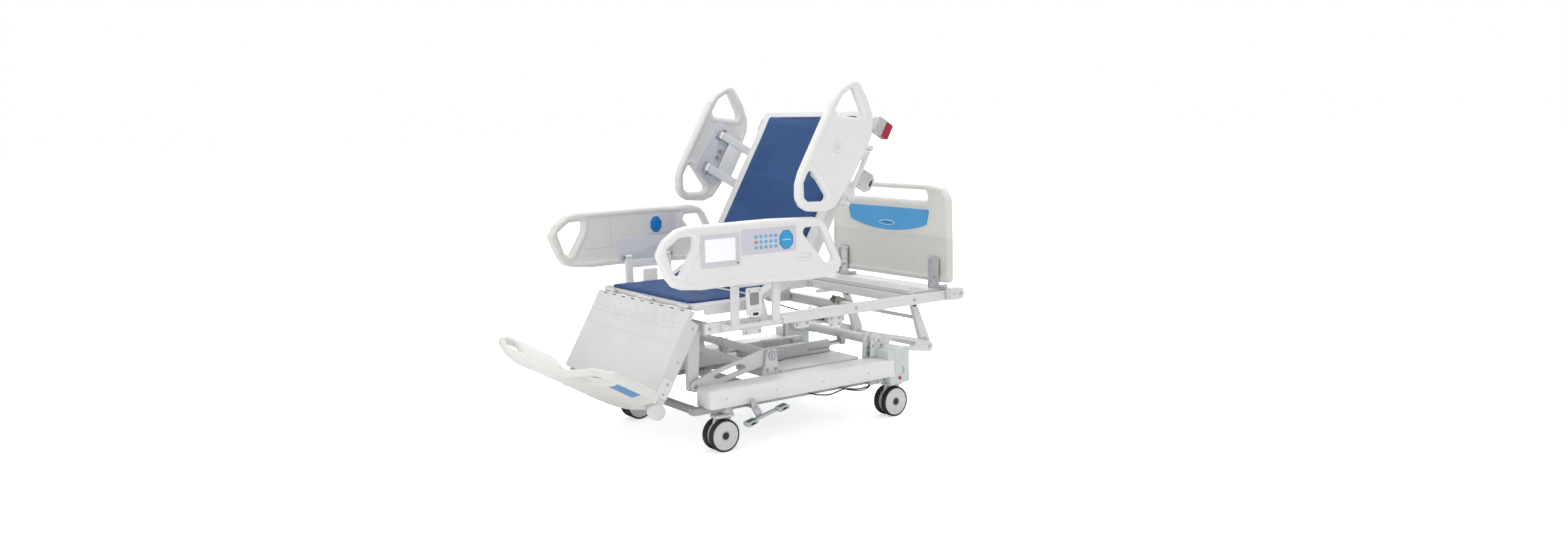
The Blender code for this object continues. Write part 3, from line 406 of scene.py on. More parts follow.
def lathe(profile, origin, axis, segments):
    """A turned shape: profile is (distance along the axis, radius) from one end to the other."""
    e1, e2, axis = basis(axis)
    origin = np.asarray(origin, float)
    verts, faces, rings = [], [], []
    for t, r in profile:
        if r < 1e-6:
            rings.append([len(verts)])
            verts.append(origin + axis * t)
        else:
            rings.append(list(range(len(verts), len(verts) + segments)))
            for k in range(segments):
                g = 2 * math.pi * k / segments
                verts.append(origin + axis * t + r * (e1 * math.cos(g) + e2 * math.sin(g)))
    if len(rings[0]) > 1:
        faces.append(tuple(reversed(rings[0])))
    if len(rings[-1]) > 1:
        faces.append(tuple(rings[-1]))
    for a, b in zip(rings, rings[1:]):
        if len(a) == 1 and len(b) == 1:
            continue
        for k in range(segments):
            m = (k + 1) % segments
            if len(a) == 1:
                faces.append((a[0], b[k], b[m]))
            elif len(b) == 1:
                faces.append((a[k], b[0], a[m]))
            else:
                faces.append((a[k], b[k], b[m], a[m]))
    return outward(verts, faces)


def ring(profile, origin, axis, segments):
    """A turned ring: profile is a closed loop of (distance along the axis, radius)."""
    e1, e2, axis = basis(axis)
    origin = np.asarray(origin, float)
    verts, faces, m = [], [], len(profile)
    for k in range(segments):
        g = 2 * math.pi * k / segments
        for t, r in profile:
            verts.append(origin + axis * t + r * (e1 * math.cos(g) + e2 * math.sin(g)))
    for k in range(segments):
        for i in range(m):
            j, q = (i + 1) % m, (k + 1) % segments
            faces.append((k * m + i, k * m + j, q * m + j, q * m + i))
    return outward(verts, faces)


def rod(start, end, radius, bevel=0.0012, segments=24):
    start, end = np.asarray(start, float), np.asarray(end, float)
    length = float(np.linalg.norm(end - start))
    bevel = min(bevel, 0.4 * length, 0.4 * radius)
    edge = [(0, radius - bevel), (bevel * 0.3, radius - bevel * 0.3), (bevel, radius)]
    profile = [(0, 0), *edge, *[(length - t, r) for t, r in reversed(edge)], (length, 0)]
    return lathe(profile, start, end - start, segments)


def cross_rod(x, z, ys, radius, bevel=0.0012, segments=24):
    """A rod that lies across the bed."""
    return rod((x, ys[0], z), (x, ys[1], z), radius, bevel, segments)


def hexagon(at, axis, r, h):
    """A bolt head with a chamfered rim and a dished top."""
    profile = [(0, 0), (0, r), (h * 0.75, r), (h, r * 0.86), (h, r * 0.4), (h * 0.6, r * 0.4),
               (h * 0.6, 0)]
    return lathe(profile, at, axis, 6)


def bolt(at, axis, radius, height):
    """A hexagon head on a washer."""
    at = np.asarray(at, float)
    axis = np.asarray(axis, float) / np.linalg.norm(axis)
    return [rod(at - axis * 0.0005, at + axis * 0.0012, radius * 1.55, bevel=0.0004),
            hexagon(at + axis * 0.0010, axis, radius, height)]


def cap_screw(at, axis, r, h):
    profile = [(-0.0005, 0), (-0.0005, r), (h * 0.6, r), (h * 0.9, r * 0.88), (h, r * 0.7),
               (h, r * 0.45), (h * 0.4, r * 0.42), (h * 0.4, 0)]
    return lathe(profile, at, axis, 20)


def soften_path(points, radius, steps):
    """An open polyline with its corners rounded."""
    pts = [np.asarray(p, float) for p in points]
    out = [pts[0]]
    for before, corner, after in zip(pts, pts[1:], pts[2:]):
        a, b = before - corner, after - corner
        len_a, len_b = np.linalg.norm(a), np.linalg.norm(b)
        cut = min(radius, 0.45 * len_a, 0.45 * len_b)
        start, end = corner + a / len_a * cut, corner + b / len_b * cut
        for k in range(steps + 1):
            t = k / steps
            out.append((1 - t) ** 2 * start + 2 * t * (1 - t) * corner + t * t * end)
    return out + [pts[-1]]


def pipe(path, radius, segments, closed=False):
    """A round bar swept along a path."""
    path = [np.asarray(p, float) for p in path]
    m, n = len(path), segments
    tangents = []
    for i in range(m):
        if closed:
            t = path[(i + 1) % m] - path[i - 1]
        else:
            t = path[min(i + 1, m - 1)] - path[max(i - 1, 0)]
        tangents.append(t / max(np.linalg.norm(t), 1e-12))
    e1, e2, _ = basis(tangents[0])
    verts, faces = [], []
    for i in range(m):
        if i:    # carry the section along without twist
            e1 = e1 - np.dot(e1, tangents[i]) * tangents[i]
            e1 /= np.linalg.norm(e1)
            e2 = np.cross(tangents[i], e1)
        verts += [path[i] + e1 * x + e2 * y for x, y in ellipse(0, 0, radius, radius, n)]
    for i in range(m if closed else m - 1):
        j = (i + 1) % m
        for k in range(n):
            q = (k + 1) % n
            faces.append((i * n + k, i * n + q, j * n + q, j * n + k))
    if not closed:
        faces.append(tuple(reversed(range(n))))
        faces.append(tuple(range((m - 1) * n, m * n)))
    return outward(verts, faces)


def cable(points, radius, bend=0.03):
    return pipe(soften_path(points, bend, 6), radius, 10)


def plate(outline, faces_at, bevel=0.0015, steps=2, plane="side", holes=()):
    """A flat outline with holes, between two faces, all its edges rounded by bevel."""
    loops = [outline, *holes]
    lo, hi = faces_at
    bevel = min(bevel, 0.45 * (hi - lo))
    turns = [math.pi / 2 * k / steps for k in range(steps + 1)]
    # (inset, height) of each level of the rounded edge
    levels = [(bevel * (1 - math.sin(g)), lo + bevel * (1 - math.cos(g))) for g in turns]
    levels += [(bevel * (1 - math.sin(g)), hi - bevel * (1 - math.cos(g)))
               for g in reversed(turns)]
    flat = np.concatenate([inset(loop, depth, hole=i > 0)
                           for depth, _ in levels for i, loop in enumerate(loops)])
    total = sum(len(q) for q in loops)
    heights = np.repeat([height for _, height in levels], total)
    faces, offset = [], 0
    for loop in loops:
        n = len(loop)
        for level in range(len(levels) - 1):
            a = level * total + offset
            b = a + total
            for k in range(n):
                m = (k + 1) % n
                faces.append((a + k, a + m, b + m, b + k))
        offset += n
    for level, faces_down in ((0, True), (len(levels) - 1, False)):
        first = level * total
        polygons, offset = [], first
        for loop in loops:
            polygons.append([Vector((*flat[offset + k], 0)) for k in range(len(loop))])
            offset += len(loop)
        for tri in geometry.tessellate_polygon(polygons):
            tri = tuple(first + i for i in tri)
            a, b, c = (flat[i] for i in tri)
            turns_up = (b[0] - a[0]) * (c[1] - a[1]) - (b[1] - a[1]) * (c[0] - a[0]) > 0
            faces.append(tuple(reversed(tri)) if turns_up == faces_down else tri)
    bm = to_bmesh(PLANES[plane](flat[:, 0], flat[:, 1], heights), faces)
    bmesh.ops.recalc_face_normals(bm, faces=bm.faces)
    return from_bmesh(bm)


def tube(xs, ys, zs, along="x"):
    """A hollow rectangular tube with rounded corners and open ends."""
    wall = 0.003
    ends, across, plane = (xs, ys, "end") if along == "x" else (ys, xs, "side")
    bore = rect((across[0] + wall, across[1] - wall), (zs[0] + wall, zs[1] - wall), 0.003, 3)
    return plate(rect(across, zs, 0.005, 3), ends, 0.0006, 1, plane, [bore])


def moulded(outline, holes, top, bottom, to3d, rings, step, grid, extra=None):
    """A moulded panel. top(d, points) and bottom(d, points) give the two faces' heights from the
    distance d to the nearest edge. rings are the distances at which a row of points follows the
    edge, step the spacing along the edge and grid the spacing inside. extra points are added."""
    loops = [resample(outline, step)] + [resample(h, step) for h in holes]
    edge_points = [np.array(q, float) for q in loops]
    edges, first = [], 0
    for q in edge_points:
        n = len(q)
        edges += [(first + k, first + (k + 1) % n) for k in range(n)]
        first += n
    rows = []
    for d in rings:
        for i, q in enumerate(loops):
            row = inset(q, d, hole=i > 0)
            rows.append(row[(edge_distance(row, loops) > d * 0.93) & in_panel(row, loops)])
    lo, hi = np.min(edge_points[0], 0), np.max(edge_points[0], 0)
    gx, gy = np.meshgrid(np.arange(lo[0], hi[0], grid), np.arange(lo[1], hi[1], grid * 0.866))
    gx = gx + (np.arange(gx.shape[0]) % 2)[:, None] * grid / 2
    fill = np.stack([gx.ravel(), gy.ravel()], 1)
    fill = fill[in_panel(fill, loops)]
    fill = fill[edge_distance(fill, loops) > rings[-1] + 0.55 * grid]
    if extra is not None:
        extra = np.array(extra, float)
        extra = extra[in_panel(extra, loops) & (edge_distance(extra, loops) > 0.004)]
        fill = fill[~near_any(fill, extra, grid * 0.42)]
        rows = [row[~near_any(row, extra, 0.0022)] for row in rows] + [extra]
    points = np.concatenate(edge_points + rows + [fill])
    out = geometry.delaunay_2d_cdt([Vector(p) for p in points], edges, [], 0, 1e-7)
    flat = np.array([tuple(v) for v in out[0]])
    tris = np.array([t for t in out[2] if len(t) == 3])
    tris = tris[in_panel(flat[tris].mean(1), loops)]
    used = np.unique(tris)
    renumber = -np.ones(len(flat), int)
    renumber[used] = np.arange(len(used))
    flat, tris = flat[used], renumber[tris]
    a, b = flat[tris[:, 1]] - flat[tris[:, 0]], flat[tris[:, 2]] - flat[tris[:, 0]]
    clockwise = a[:, 0] * b[:, 1] - a[:, 1] * b[:, 0] < 0
    tris[clockwise] = tris[clockwise][:, ::-1]
    d = edge_distance(flat, loops)
    d[d < 1e-6] = 0
    n = len(flat)
    # an edge on the boundary is used by one triangle only
    directed = dict.fromkeys((int(t[i]), int(t[(i + 1) % 3])) for t in tris for i in range(3))
    boundary = [e for e in directed if (e[1], e[0]) not in directed]
    verts = np.concatenate([to3d(flat[:, 0], flat[:, 1], top(d, flat)),
                            to3d(flat[:, 0], flat[:, 1], bottom(d, flat))])
    faces = [tuple(int(i) for i in t) for t in tris]
    faces += [tuple(int(i) + n for i in t[::-1]) for t in tris]
    faces += [(a + n, b + n, b, a) for a, b in boundary]
    bm = to_bmesh(verts, faces)
    bmesh.ops.remove_doubles(bm, verts=bm.verts, dist=1e-6)
    bmesh.ops.dissolve_degenerate(bm, dist=1e-7, edges=bm.edges)
    return from_bmesh(bm)


def soft(outline, lo, hi, r_hi, r_lo, grid=0.05):
    """A closed shell with broadly rounded edges on one face and other ones below."""
    upper, lower = dome(r_hi), dome(r_lo)
    wanted = [r_lo * 0.15, r_lo * 0.5, r_lo, r_hi * 0.08, r_hi * 0.25, r_hi * 0.55, r_hi]
    rings = []
    for q in sorted({round(q, 5) for q in wanted}):
        if not rings or q - rings[-1] > 0.0006:
            rings.append(q)
    return moulded(outline, (), lambda d, p: hi - r_hi + upper(d), lambda d, p: lo + r_lo - lower(d),
                   PLANES["top"], rings, 0.012, grid)


# ------------------------------------------------------------------ shader building
def srgb(*rgb):
    def linear(x):
        x = x / 255.0
        return x / 12.92 if x <= 0.04045 else ((x + 0.055) / 1.055) ** 2.4
    return tuple(linear(x) for x in rgb)


def scaled(colour, factor):
    return tuple(x * factor for x in colour)


class Shader:
    """A material's node tree, with object coordinates ready for its textures."""

    def __init__(self, name):
        self.material = bpy.data.materials.new(name)
        self.material.use_nodes = True
        self.tree = self.material.node_tree
        self.principled = self.tree.nodes["Principled BSDF"]
        self.coords = self.new("TexCoord").outputs["Object"]

    def new(self, kind, **props):
        node = self.tree.nodes.new("ShaderNode" + kind)
        for key, value in props.items():
            setattr(node, key, value)
        return node

    def put(self, socket, value):
        """Give an input a number, a colour or a link."""
        if isinstance(value, (int, float)):
            socket.default_value = value
        elif isinstance(value, tuple):
            socket.default_value = (*value, 1.0)
        else:
            self.tree.links.new(value, socket)

    def mapped(self, scale, rotation=(0, 0, 0)):
        node = self.new("Mapping")
        node.inputs["Scale"].default_value = scale
        node.inputs["Rotation"].default_value = rotation
        self.put(node.inputs["Vector"], self.coords)
        return node.outputs["Vector"]

    def noise(self, scale, detail=3.0, rough=0.55, vector=None):
        node = self.new("TexNoise")
        self.put(node.inputs["Scale"], scale)
        self.put(node.inputs["Detail"], detail)
        self.put(node.inputs["Roughness"], rough)
        self.put(node.inputs["Vector"], vector or self.coords)
        return node.outputs["Fac"]

    def cells(self, scale, feature="SMOOTH_F1"):
        node = self.new("TexVoronoi", feature=feature)
        self.put(node.inputs["Scale"], scale)
        self.put(node.inputs["Vector"], self.coords)
        return node.outputs["Distance"]

    def remap(self, value, over, to=(0.0, 1.0)):
        node = self.new("MapRange")
        limits = zip(("From Min", "From Max", "To Min", "To Max"), (*over, *to))
        for key, limit in limits:
            self.put(node.inputs[key], limit)
        self.put(node.inputs["Value"], value)
        return node.outputs["Result"]

    def math(self, operation, a, b):
        node = self.new("Math", operation=operation)
        self.put(node.inputs[0], a)
        self.put(node.inputs[1], b)
        return node.outputs[0]

    def mix(self, factor, a, b, blend="MIX"):
        node = self.new("Mix", data_type="RGBA", blend_type=blend)
        for i, value in ((0, factor), (6, a), (7, b)):
            self.put(node.inputs[i], value)
        return node.outputs[2]

    def bump(self, height, strength, distance, normal=None):
        node = self.new("Bump")
        self.put(node.inputs["Strength"], strength)
        self.put(node.inputs["Distance"], distance)
        self.put(node.inputs["Height"], height)
        if normal is not None:
            self.put(node.inputs["Normal"], normal)
        return node.outputs["Normal"]

    def set(self, **inputs):
        for key, value in inputs.items():
            self.put(self.principled.inputs[key.replace("_", " ")], value)

    def paint_corner_shade(self, colour, shade_colour, amount, distance):
        """Painted shade: corners and undersides a little darker where ambient occlusion finds them, in patches of
        uneven strength.
        """
        node = self.new("AmbientOcclusion", samples=4)
        self.put(node.inputs["Distance"], distance)
        factor = self.remap(node.outputs["AO"], over=(0.35, 0.95), to=(amount, 0.0))
        patches = self.noise(scale=60.0, detail=4.0, rough=0.6)
        patches = self.remap(patches, over=(0.3, 0.7), to=(0.6, 1.2))
        return self.mix(self.math("MULTIPLY", factor, patches), colour, shade_colour)


# ------------------------------------------------------------------ kinds of material
def plastic_shader(name, rgb, roughness=0.36, grain=650.0, bump=0.10, mottle=0.035, coat=0.12,
                   subsurface=0.0):
    """Moulded plastic: leather-like mould grain, faint mottling and fine scuffs."""
    s = Shader(name)
    base = srgb(*rgb)
    warm = tuple(x * (1 - mottle * k) for x, k in zip(base, (0.5, 0.6, 1.0)))
    big = s.noise(scale=3.1, detail=3.0, rough=0.5)
    mid = s.noise(scale=38.0, detail=4.0, rough=0.6)
    colour = s.mix(s.remap(big, over=(0.38, 0.66)), base, warm)
    colour = s.mix(s.remap(mid, over=(0.45, 0.80), to=(0.0, 0.55)), colour,
                   scaled(base, 1 - 2.2 * mottle))
    # painted shade in corners and undersides, towards a darker warm white
    colour = s.paint_corner_shade(colour, scaled(warm, 0.62), amount=0.34, distance=0.016)
    pebbles = s.cells(scale=grain)
    fine = s.noise(scale=grain * 2.3, detail=2.0, rough=0.6)
    scuff = s.noise(scale=1.0, detail=5.0, rough=0.7,
                    vector=s.mapped(scale=(260.0, 60.0, 260.0), rotation=(0.3, 0.5, 0.8)))
    # the grain's height is pebbles and fine noise by these shares
    height = s.math("ADD", s.math("MULTIPLY", pebbles, 0.7), s.math("MULTIPLY", fine, 0.35))
    normal = s.bump(height, strength=bump, distance=0.0004)
    normal = s.bump(s.remap(scuff, over=(0.60, 0.74)), strength=0.03, distance=0.0003,
                    normal=normal)
    rough = s.remap(mid, over=(0.3, 0.75), to=(roughness - 0.05, roughness + 0.07))
    rough = s.math("ADD", rough, s.remap(scuff, over=(0.58, 0.75), to=(0.0, 0.10)))
    s.set(Base_Color=colour, Roughness=rough, Normal=normal, Coat_Weight=coat,
          Coat_Roughness=0.35, IOR=1.46)
    if subsurface:
        s.set(Subsurface_Weight=subsurface, Subsurface_Scale=1.0)
        s.principled.inputs["Subsurface Radius"].default_value = (0.006, 0.005, 0.004)
    return s


def plastic(name, rgb, **tuning):
    return plastic_shader(name, rgb, **tuning).material


def painted(name, rgb, roughness=0.34, peel=420.0, bump=0.10):
    """Powder coat: orange-peel surface, small chips to primer here and there."""
    mottle = 0.03
    s = Shader(name)
    base = srgb(*rgb)
    big = s.noise(scale=4.0, detail=3.0, rough=0.5)
    mid = s.noise(scale=70.0, detail=4.0, rough=0.6)
    colour = s.mix(s.remap(big, over=(0.35, 0.7)), base, scaled(base, 1 - 2 * mottle))
    colour = s.mix(s.remap(mid, over=(0.5, 0.85), to=(0, 0.5)), colour,
                   scaled(base, 1 - 3 * mottle))
    chips = s.remap(s.noise(scale=210.0, detail=5.0, rough=0.65), over=(0.735, 0.75))
    patches = s.remap(s.noise(scale=11.0, detail=2.0, rough=0.5), over=(0.58, 0.64))
    chips = s.math("MULTIPLY", chips, patches)
    primer, strength = (0.20, 0.20, 0.21), 0.7
    colour = s.mix(s.math("MULTIPLY", chips, strength), colour, primer)
    # painted shade in corners and undersides, towards half the base colour
    colour = s.paint_corner_shade(colour, scaled(base, 0.5), amount=0.4, distance=0.02)
    coarse = s.noise(scale=peel, detail=2.0, rough=0.4)
    fine = s.noise(scale=peel * 6, detail=2.0, rough=0.5)
    normal = s.bump(coarse, strength=bump, distance=0.0006)
    normal = s.bump(fine, strength=bump * 0.5, distance=0.0002, normal=normal)
    rough = s.remap(mid, over=(0.3, 0.8), to=(roughness - 0.04, roughness + 0.08))
    s.set(Base_Color=colour, Roughness=rough, Normal=normal, Coat_Weight=0.18,
          Coat_Roughness=0.25)
    return s.material


def metal(name, rgb, roughness, brush=(900.0, 18.0, 900.0), bump=0.05, smear=0.25):
    """Metal with brushing stretched by brush, dull smears and prints."""
    s = Shader(name)
    base = srgb(*rgb)
    lines = s.noise(scale=1.0, detail=4.0, rough=0.65, vector=s.mapped(scale=brush))
    big = s.noise(scale=9.0, detail=3.0, rough=0.55)
    prints = s.noise(scale=46.0, detail=4.0, rough=0.6)
    colour = s.mix(s.remap(lines, over=(0.3, 0.7)), scaled(base, 0.86), base)
    colour = s.mix(s.remap(big, over=(0.35, 0.7), to=(0, smear)), colour, scaled(base, 0.72))
    rough = s.math("ADD",
                   s.remap(lines, over=(0.25, 0.75), to=(roughness - 0.06, roughness + 0.10)),
                   s.remap(prints, over=(0.5, 0.8), to=(0.0, 0.10)))
    s.set(Base_Color=colour, Metallic=1.0, Roughness=rough,
          Normal=s.bump(lines, strength=bump, distance=0.0002))
    return s.material


def inlay(name, rgb, roughness=0.30):
    """Smooth coloured plastic under a clear coat."""
    s = Shader(name)
    base = srgb(*rgb)
    big = s.noise(scale=5.0, detail=3.0, rough=0.5)
    mid = s.noise(scale=80.0, detail=4.0, rough=0.6)
    grain = s.cells(scale=900.0)
    colour = s.mix(s.remap(big, over=(0.3, 0.7)), base, scaled(base, 0.88))
    colour = s.mix(s.remap(mid, over=(0.5, 0.8), to=(0, 0.3)), colour,
                   tuple(min(1, x * 1.1) for x in base))
    rough = s.remap(mid, over=(0.3, 0.7), to=(roughness - 0.04, roughness + 0.08))
    s.set(Base_Color=colour, Roughness=rough,
          Normal=s.bump(grain, strength=0.07, distance=0.0003),
          Coat_Weight=0.35, Coat_Roughness=0.15)
    return s.material


def tyre_rubber():
    s = Shader("tyre_rubber")
    mid = s.noise(scale=90.0, detail=4.0, rough=0.6)
    fine = s.noise(scale=1800.0, detail=2.0, rough=0.5)
    dust = s.noise(scale=14.0, detail=4.0, rough=0.6)
    colour = s.mix(s.remap(mid, over=(0.35, 0.7)), srgb(26, 26, 27), srgb(42, 42, 43))
    colour = s.mix(s.remap(dust, over=(0.5, 0.72), to=(0, 0.22)), colour, srgb(120, 118, 112))
    s.set(Base_Color=colour, Roughness=s.remap(mid, over=(0.3, 0.7), to=(0.55, 0.8)),
          Normal=s.bump(fine, strength=0.25, distance=0.0004))
    return s.material


def coated_cover():
    """Blue coated cover sheet: fine grain, faint creases darkened as painted shade, slightly uneven sheen."""
    s = Shader("blue_coated_cover")
    big = s.noise(scale=2.6, detail=4.0, rough=0.55)
    mid = s.noise(scale=17.0, detail=4.0, rough=0.6)
    streak = s.noise(scale=1.0, detail=4.0, rough=0.6,
                     vector=s.mapped(scale=(5.0, 2.0, 14.0), rotation=(0.2, 0.6, 0.3)))
    blue, deep, pale = srgb(33, 75, 128), srgb(27, 65, 115), srgb(44, 86, 140)
    colour = s.mix(s.remap(big, over=(0.34, 0.66)), blue, deep)
    colour = s.mix(s.remap(streak, over=(0.52, 0.8), to=(0, 0.5)), colour, pale)
    colour = s.mix(s.remap(mid, over=(0.5, 0.85), to=(0, 0.35)), colour, deep)
    creases = s.cells(scale=1150.0, feature="DISTANCE_TO_EDGE")
    pebbles = s.math("MULTIPLY", s.cells(scale=560.0), 0.4)
    grain = s.math("ADD", s.remap(creases, over=(0.0, 0.25), to=(0.0, 0.7)), pebbles)
    waves = s.noise(scale=26.0, detail=4.0, rough=0.55, vector=s.mapped(scale=(1.0, 0.45, 1.0)))
    normal = s.bump(waves, strength=0.10, distance=0.004)
    normal = s.bump(grain, strength=0.22, distance=0.0005, normal=normal)
    # painted shade: the colour darkens along the fine creases
    colour = s.mix(s.remap(creases, over=(0.0, 0.10), to=(0.30, 0.0)), colour, srgb(26, 50, 96))
    s.set(Base_Color=colour, Roughness=s.remap(mid, over=(0.3, 0.7), to=(0.46, 0.60)),
          Normal=normal, Sheen_Weight=0.06, Sheen_Roughness=0.5,
          Specular_IOR_Level=0.32, Sheen_Tint=srgb(150, 180, 220))
    return s.material


def screen_glass():
    """Blank pale screen with a soft gradient and smudges, under a clear coat, and a faint painted glow."""
    s = Shader("screen_glass")
    gradient = s.noise(scale=2.2, detail=2.0, rough=0.4)
    smudge = s.noise(scale=40.0, detail=4.0, rough=0.6)
    colour = s.mix(s.remap(gradient, over=(0.35, 0.65)), srgb(250, 250, 252),
                   srgb(240, 243, 249))
    s.set(Base_Color=colour, Roughness=s.remap(smudge, over=(0.45, 0.8), to=(0.06, 0.22)),
          Coat_Weight=0.6, Coat_Roughness=0.03,
          Normal=s.bump(smudge, strength=0.01, distance=0.0004),
          # painted glow: the blank screen gives off a little light of its own
          Emission_Color=srgb(248, 249, 255), Emission_Strength=0.16)
    return s.material


def headboard_plastic_shaded_below():
    """Warm white plastic with painted shade: a little darker below the step across the headboard."""
    s = plastic_shader("moulded_headboard", (230, 229, 224), roughness=0.38, grain=620)
    plain = s.principled.inputs["Base Color"].links[0].from_socket
    separate = s.new("SeparateXYZ")
    s.put(separate.inputs[0], s.new("TexCoord").outputs["Object"])
    # painted shade: the colour is multiplied down to 0.93 below the step
    shade = s.remap(separate.outputs["Z"], over=(0.855, 0.862), to=(0.93, 1.0))
    combine = s.new("CombineXYZ")
    for socket in combine.inputs:
        s.put(socket, shade)
    s.set(Base_Color=s.mix(1.0, plain, combine.outputs[0], blend="MULTIPLY"))
    return s.material


# ------------------------------------------------------------------ materials
WHITE = plastic("moulded_white", (240, 240, 240), roughness=0.34, grain=700, bump=0.08)
WARM = plastic("moulded_warm_white", (228, 227, 223), roughness=0.38, grain=620)
SHADE_WHITE = plastic("moulded_shade_white", (224, 225, 222), roughness=0.40, grain=620)
PANEL_GREY = plastic("panel_grey", (214, 214, 221), roughness=0.40, grain=900, bump=0.05)
MINT = plastic("pale_green_plastic", (214, 222, 218), roughness=0.42, grain=800)
MINT_DARK = plastic("grey_green_plastic", (176, 193, 187), roughness=0.45, grain=800)
BUMPER = plastic("bumper_translucent_white", (226, 227, 226), roughness=0.46, grain=420,
                 bump=0.12, subsurface=0.15)
DARK = plastic("dark_plastic", (52, 54, 58), roughness=0.48, grain=800, bump=0.14, mottle=0.08,
               coat=0.0)
BLACK = plastic("black_rubber_parts", (30, 30, 32), roughness=0.6, grain=900, bump=0.15,
                mottle=0.08, coat=0.0)
BOX_GREY = plastic("box_grey_plastic", (196, 198, 198), roughness=0.42, grain=800)
COAT = painted("powder_coat_white", (232, 233, 233))
DECK_COAT = painted("powder_coat_deck", (222, 222, 223), roughness=0.38, peel=380, bump=0.12)
GREY_COAT = painted("powder_coat_grey", (178, 179, 180), roughness=0.40)
LIGHT_GREY_COAT = painted("powder_coat_light_grey", (228, 229, 230), roughness=0.42)
MID_GREY_COAT = painted("powder_coat_mid_grey", (150, 151, 153), roughness=0.42)
MOTOR = plastic("motor_housing_grey", (205, 206, 207), roughness=0.42, grain=800, bump=0.12)
OLIVE = painted("support_arm_grey", (150, 149, 142), roughness=0.42)
STEEL = metal("stainless_brushed", (226, 227, 230), roughness=0.30)
STEEL_UPRIGHT = metal("stainless_brushed_upright", (222, 223, 226), roughness=0.32,
                      brush=(900.0, 900.0, 16.0))
ZINC = metal("zinc_plated", (206, 208, 212), roughness=0.34, brush=(60.0, 60.0, 60.0),
             bump=0.08, smear=0.4)
POLISHED = metal("polished_rod", (210, 212, 216), roughness=0.12, brush=(1400.0, 12.0, 1400.0),
                 bump=0.02)
TYRE = tyre_rubber()
COVER = coated_cover()
WELT = plastic("cover_edge_welt", (38, 68, 116), roughness=0.5, grain=900, bump=0.2,
               mottle=0.08, coat=0.0)
INLAY = inlay("light_blue_inlay", (66, 166, 228))
INLAY_FOOT = inlay("light_blue_inlay_foot", (62, 140, 200))
BADGE = inlay("badge_cyan_blue", (40, 168, 226))
BADGE_DEEP = inlay("badge_deep_blue", (16, 124, 190))
BADGE_PALE = inlay("badge_pale_line", (196, 228, 244))
KEY_BLUE = inlay("key_blue", (70, 172, 218))
KEY_RED = inlay("key_orange_red", (226, 92, 78))
KEY_RIM = inlay("key_rim_pale", (196, 204, 220))
RED = inlay("release_crimson", (176, 10, 58), roughness=0.26)
FOIL = plastic("keypad_foil", (212, 213, 224), roughness=0.34, grain=1500, bump=0.04,
               mottle=0.015, coat=0.3)
BEZEL = plastic("screen_bezel", (216, 216, 222), grain=900, bump=0.05, mottle=0.02)
SCREEN = screen_glass()
HEADBOARD_SHADED_BELOW = headboard_plastic_shaded_below()

# the colour slot a piece goes in unless it names another
SLOT_MATERIALS = {
    "white_plastic": (WHITE, SHADE_WHITE, PANEL_GREY, BUMPER, BEZEL),
    "warm_white": (WARM, HEADBOARD_SHADED_BELOW),
    "pale_green": (MINT, MINT_DARK),
    "dark_plastic": (DARK, BLACK, MOTOR),
    "grey_steel": (BOX_GREY, GREY_COAT, LIGHT_GREY_COAT, MID_GREY_COAT, OLIVE),
    "white_steel": (COAT, DECK_COAT),
    "stainless": (STEEL, STEEL_UPRIGHT, ZINC, POLISHED),
    "tyre": (TYRE,),
    "blue_cover": (COVER, WELT),
    "light_blue": (INLAY, INLAY_FOOT, BADGE, BADGE_DEEP, BADGE_PALE, KEY_BLUE, KEY_RED),
    "keypad_foil": (KEY_RIM, FOIL),
    "release_red": (RED,),
    "screen": (SCREEN,),
}
SLOT_OF = {material.name: slot for slot, group in SLOT_MATERIALS.items() for material in group}


def flattened(shapes):
    for shape in shapes:
        if isinstance(shape, list):
            yield from flattened(shape)
        else:
            yield shape


def add(name, material, body, shapes, frame=BASE, replaces=None, slot=None, angle=40):
    """Join shapes into one mesh object that rides on a body. Shapes may be nested in lists.
    Edges sharper than angle degrees stay sharp."""
    verts, faces, count = [], [], 0
    for points, polygons in flattened(shapes):
        if frame.left_handed:
            polygons = [tuple(reversed(q)) for q in polygons]
        verts.append(frame.to_world(points))
        faces += [tuple(i + count for i in q) for q in polygons]
        count += len(points)
    mesh = bpy.data.meshes.new(name)
    mesh.from_pydata(np.concatenate(verts).tolist(), [], faces)
    mesh.validate()
    mesh.materials.append(material)
    ob = bpy.data.objects.new(name, mesh)
    scene.collection.objects.link(ob)
    mesh.shade_smooth()
    mesh.set_sharp_from_angle(angle=RAD(angle))
    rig.ride(ob, body)
    if replaces:
        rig.replaces(ob, replaces)
    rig.slot(ob, slot or SLOT_OF[material.name])
    return ob


# ------------------------------------------------------------------ base frame
shapes = []
for _, side in SIDES:
    shapes += [
        tube((-0.650, 0.560), span(side, 0.365, 0.415), (0.185, 0.215)),
        box((-0.6515, -0.6485), span(side, 0.3665, 0.4135), (0.1865, 0.2135), 0.001)]
shapes += [tube(xs, (-0.366, 0.366), (0.188, 0.212), along="y")
           for xs in ((-0.205, -0.135), (0.385, 0.455))]
SWIVEL_SOCKET = [(0.1725, 0), (0.1725, 0.0190), (0.182, 0.0190), (0.184, 0.017), (0.2, 0.017),
                 (0.2, 0)]    # (z, radius)
for castor_x in CASTOR_X.values():
    for _, side in SIDES:
        shapes.append(lathe(SWIVEL_SOCKET, (castor_x, side * CASTOR_Y, 0), (0, 0, 1), 28))
for _, side in SIDES:
    for z in (0.190, 0.218):
        shapes.append(pipe([(-0.6215, side * 0.362, z), (-0.6215, side * 0.344, z)], 0.0022, 8))
add("base_chassis", GREY_COAT, "base", shapes, replaces="base_frame")

add("base_crossbar", MID_GREY_COAT, "base", [
    box((-0.650, -0.622), (-0.400, 0.400), (0.188, 0.222), 0.006, 3),
    box((-0.6505, -0.6490), (-0.340, 0.340), (0.199, 0.211), 0.0006, 1),
])

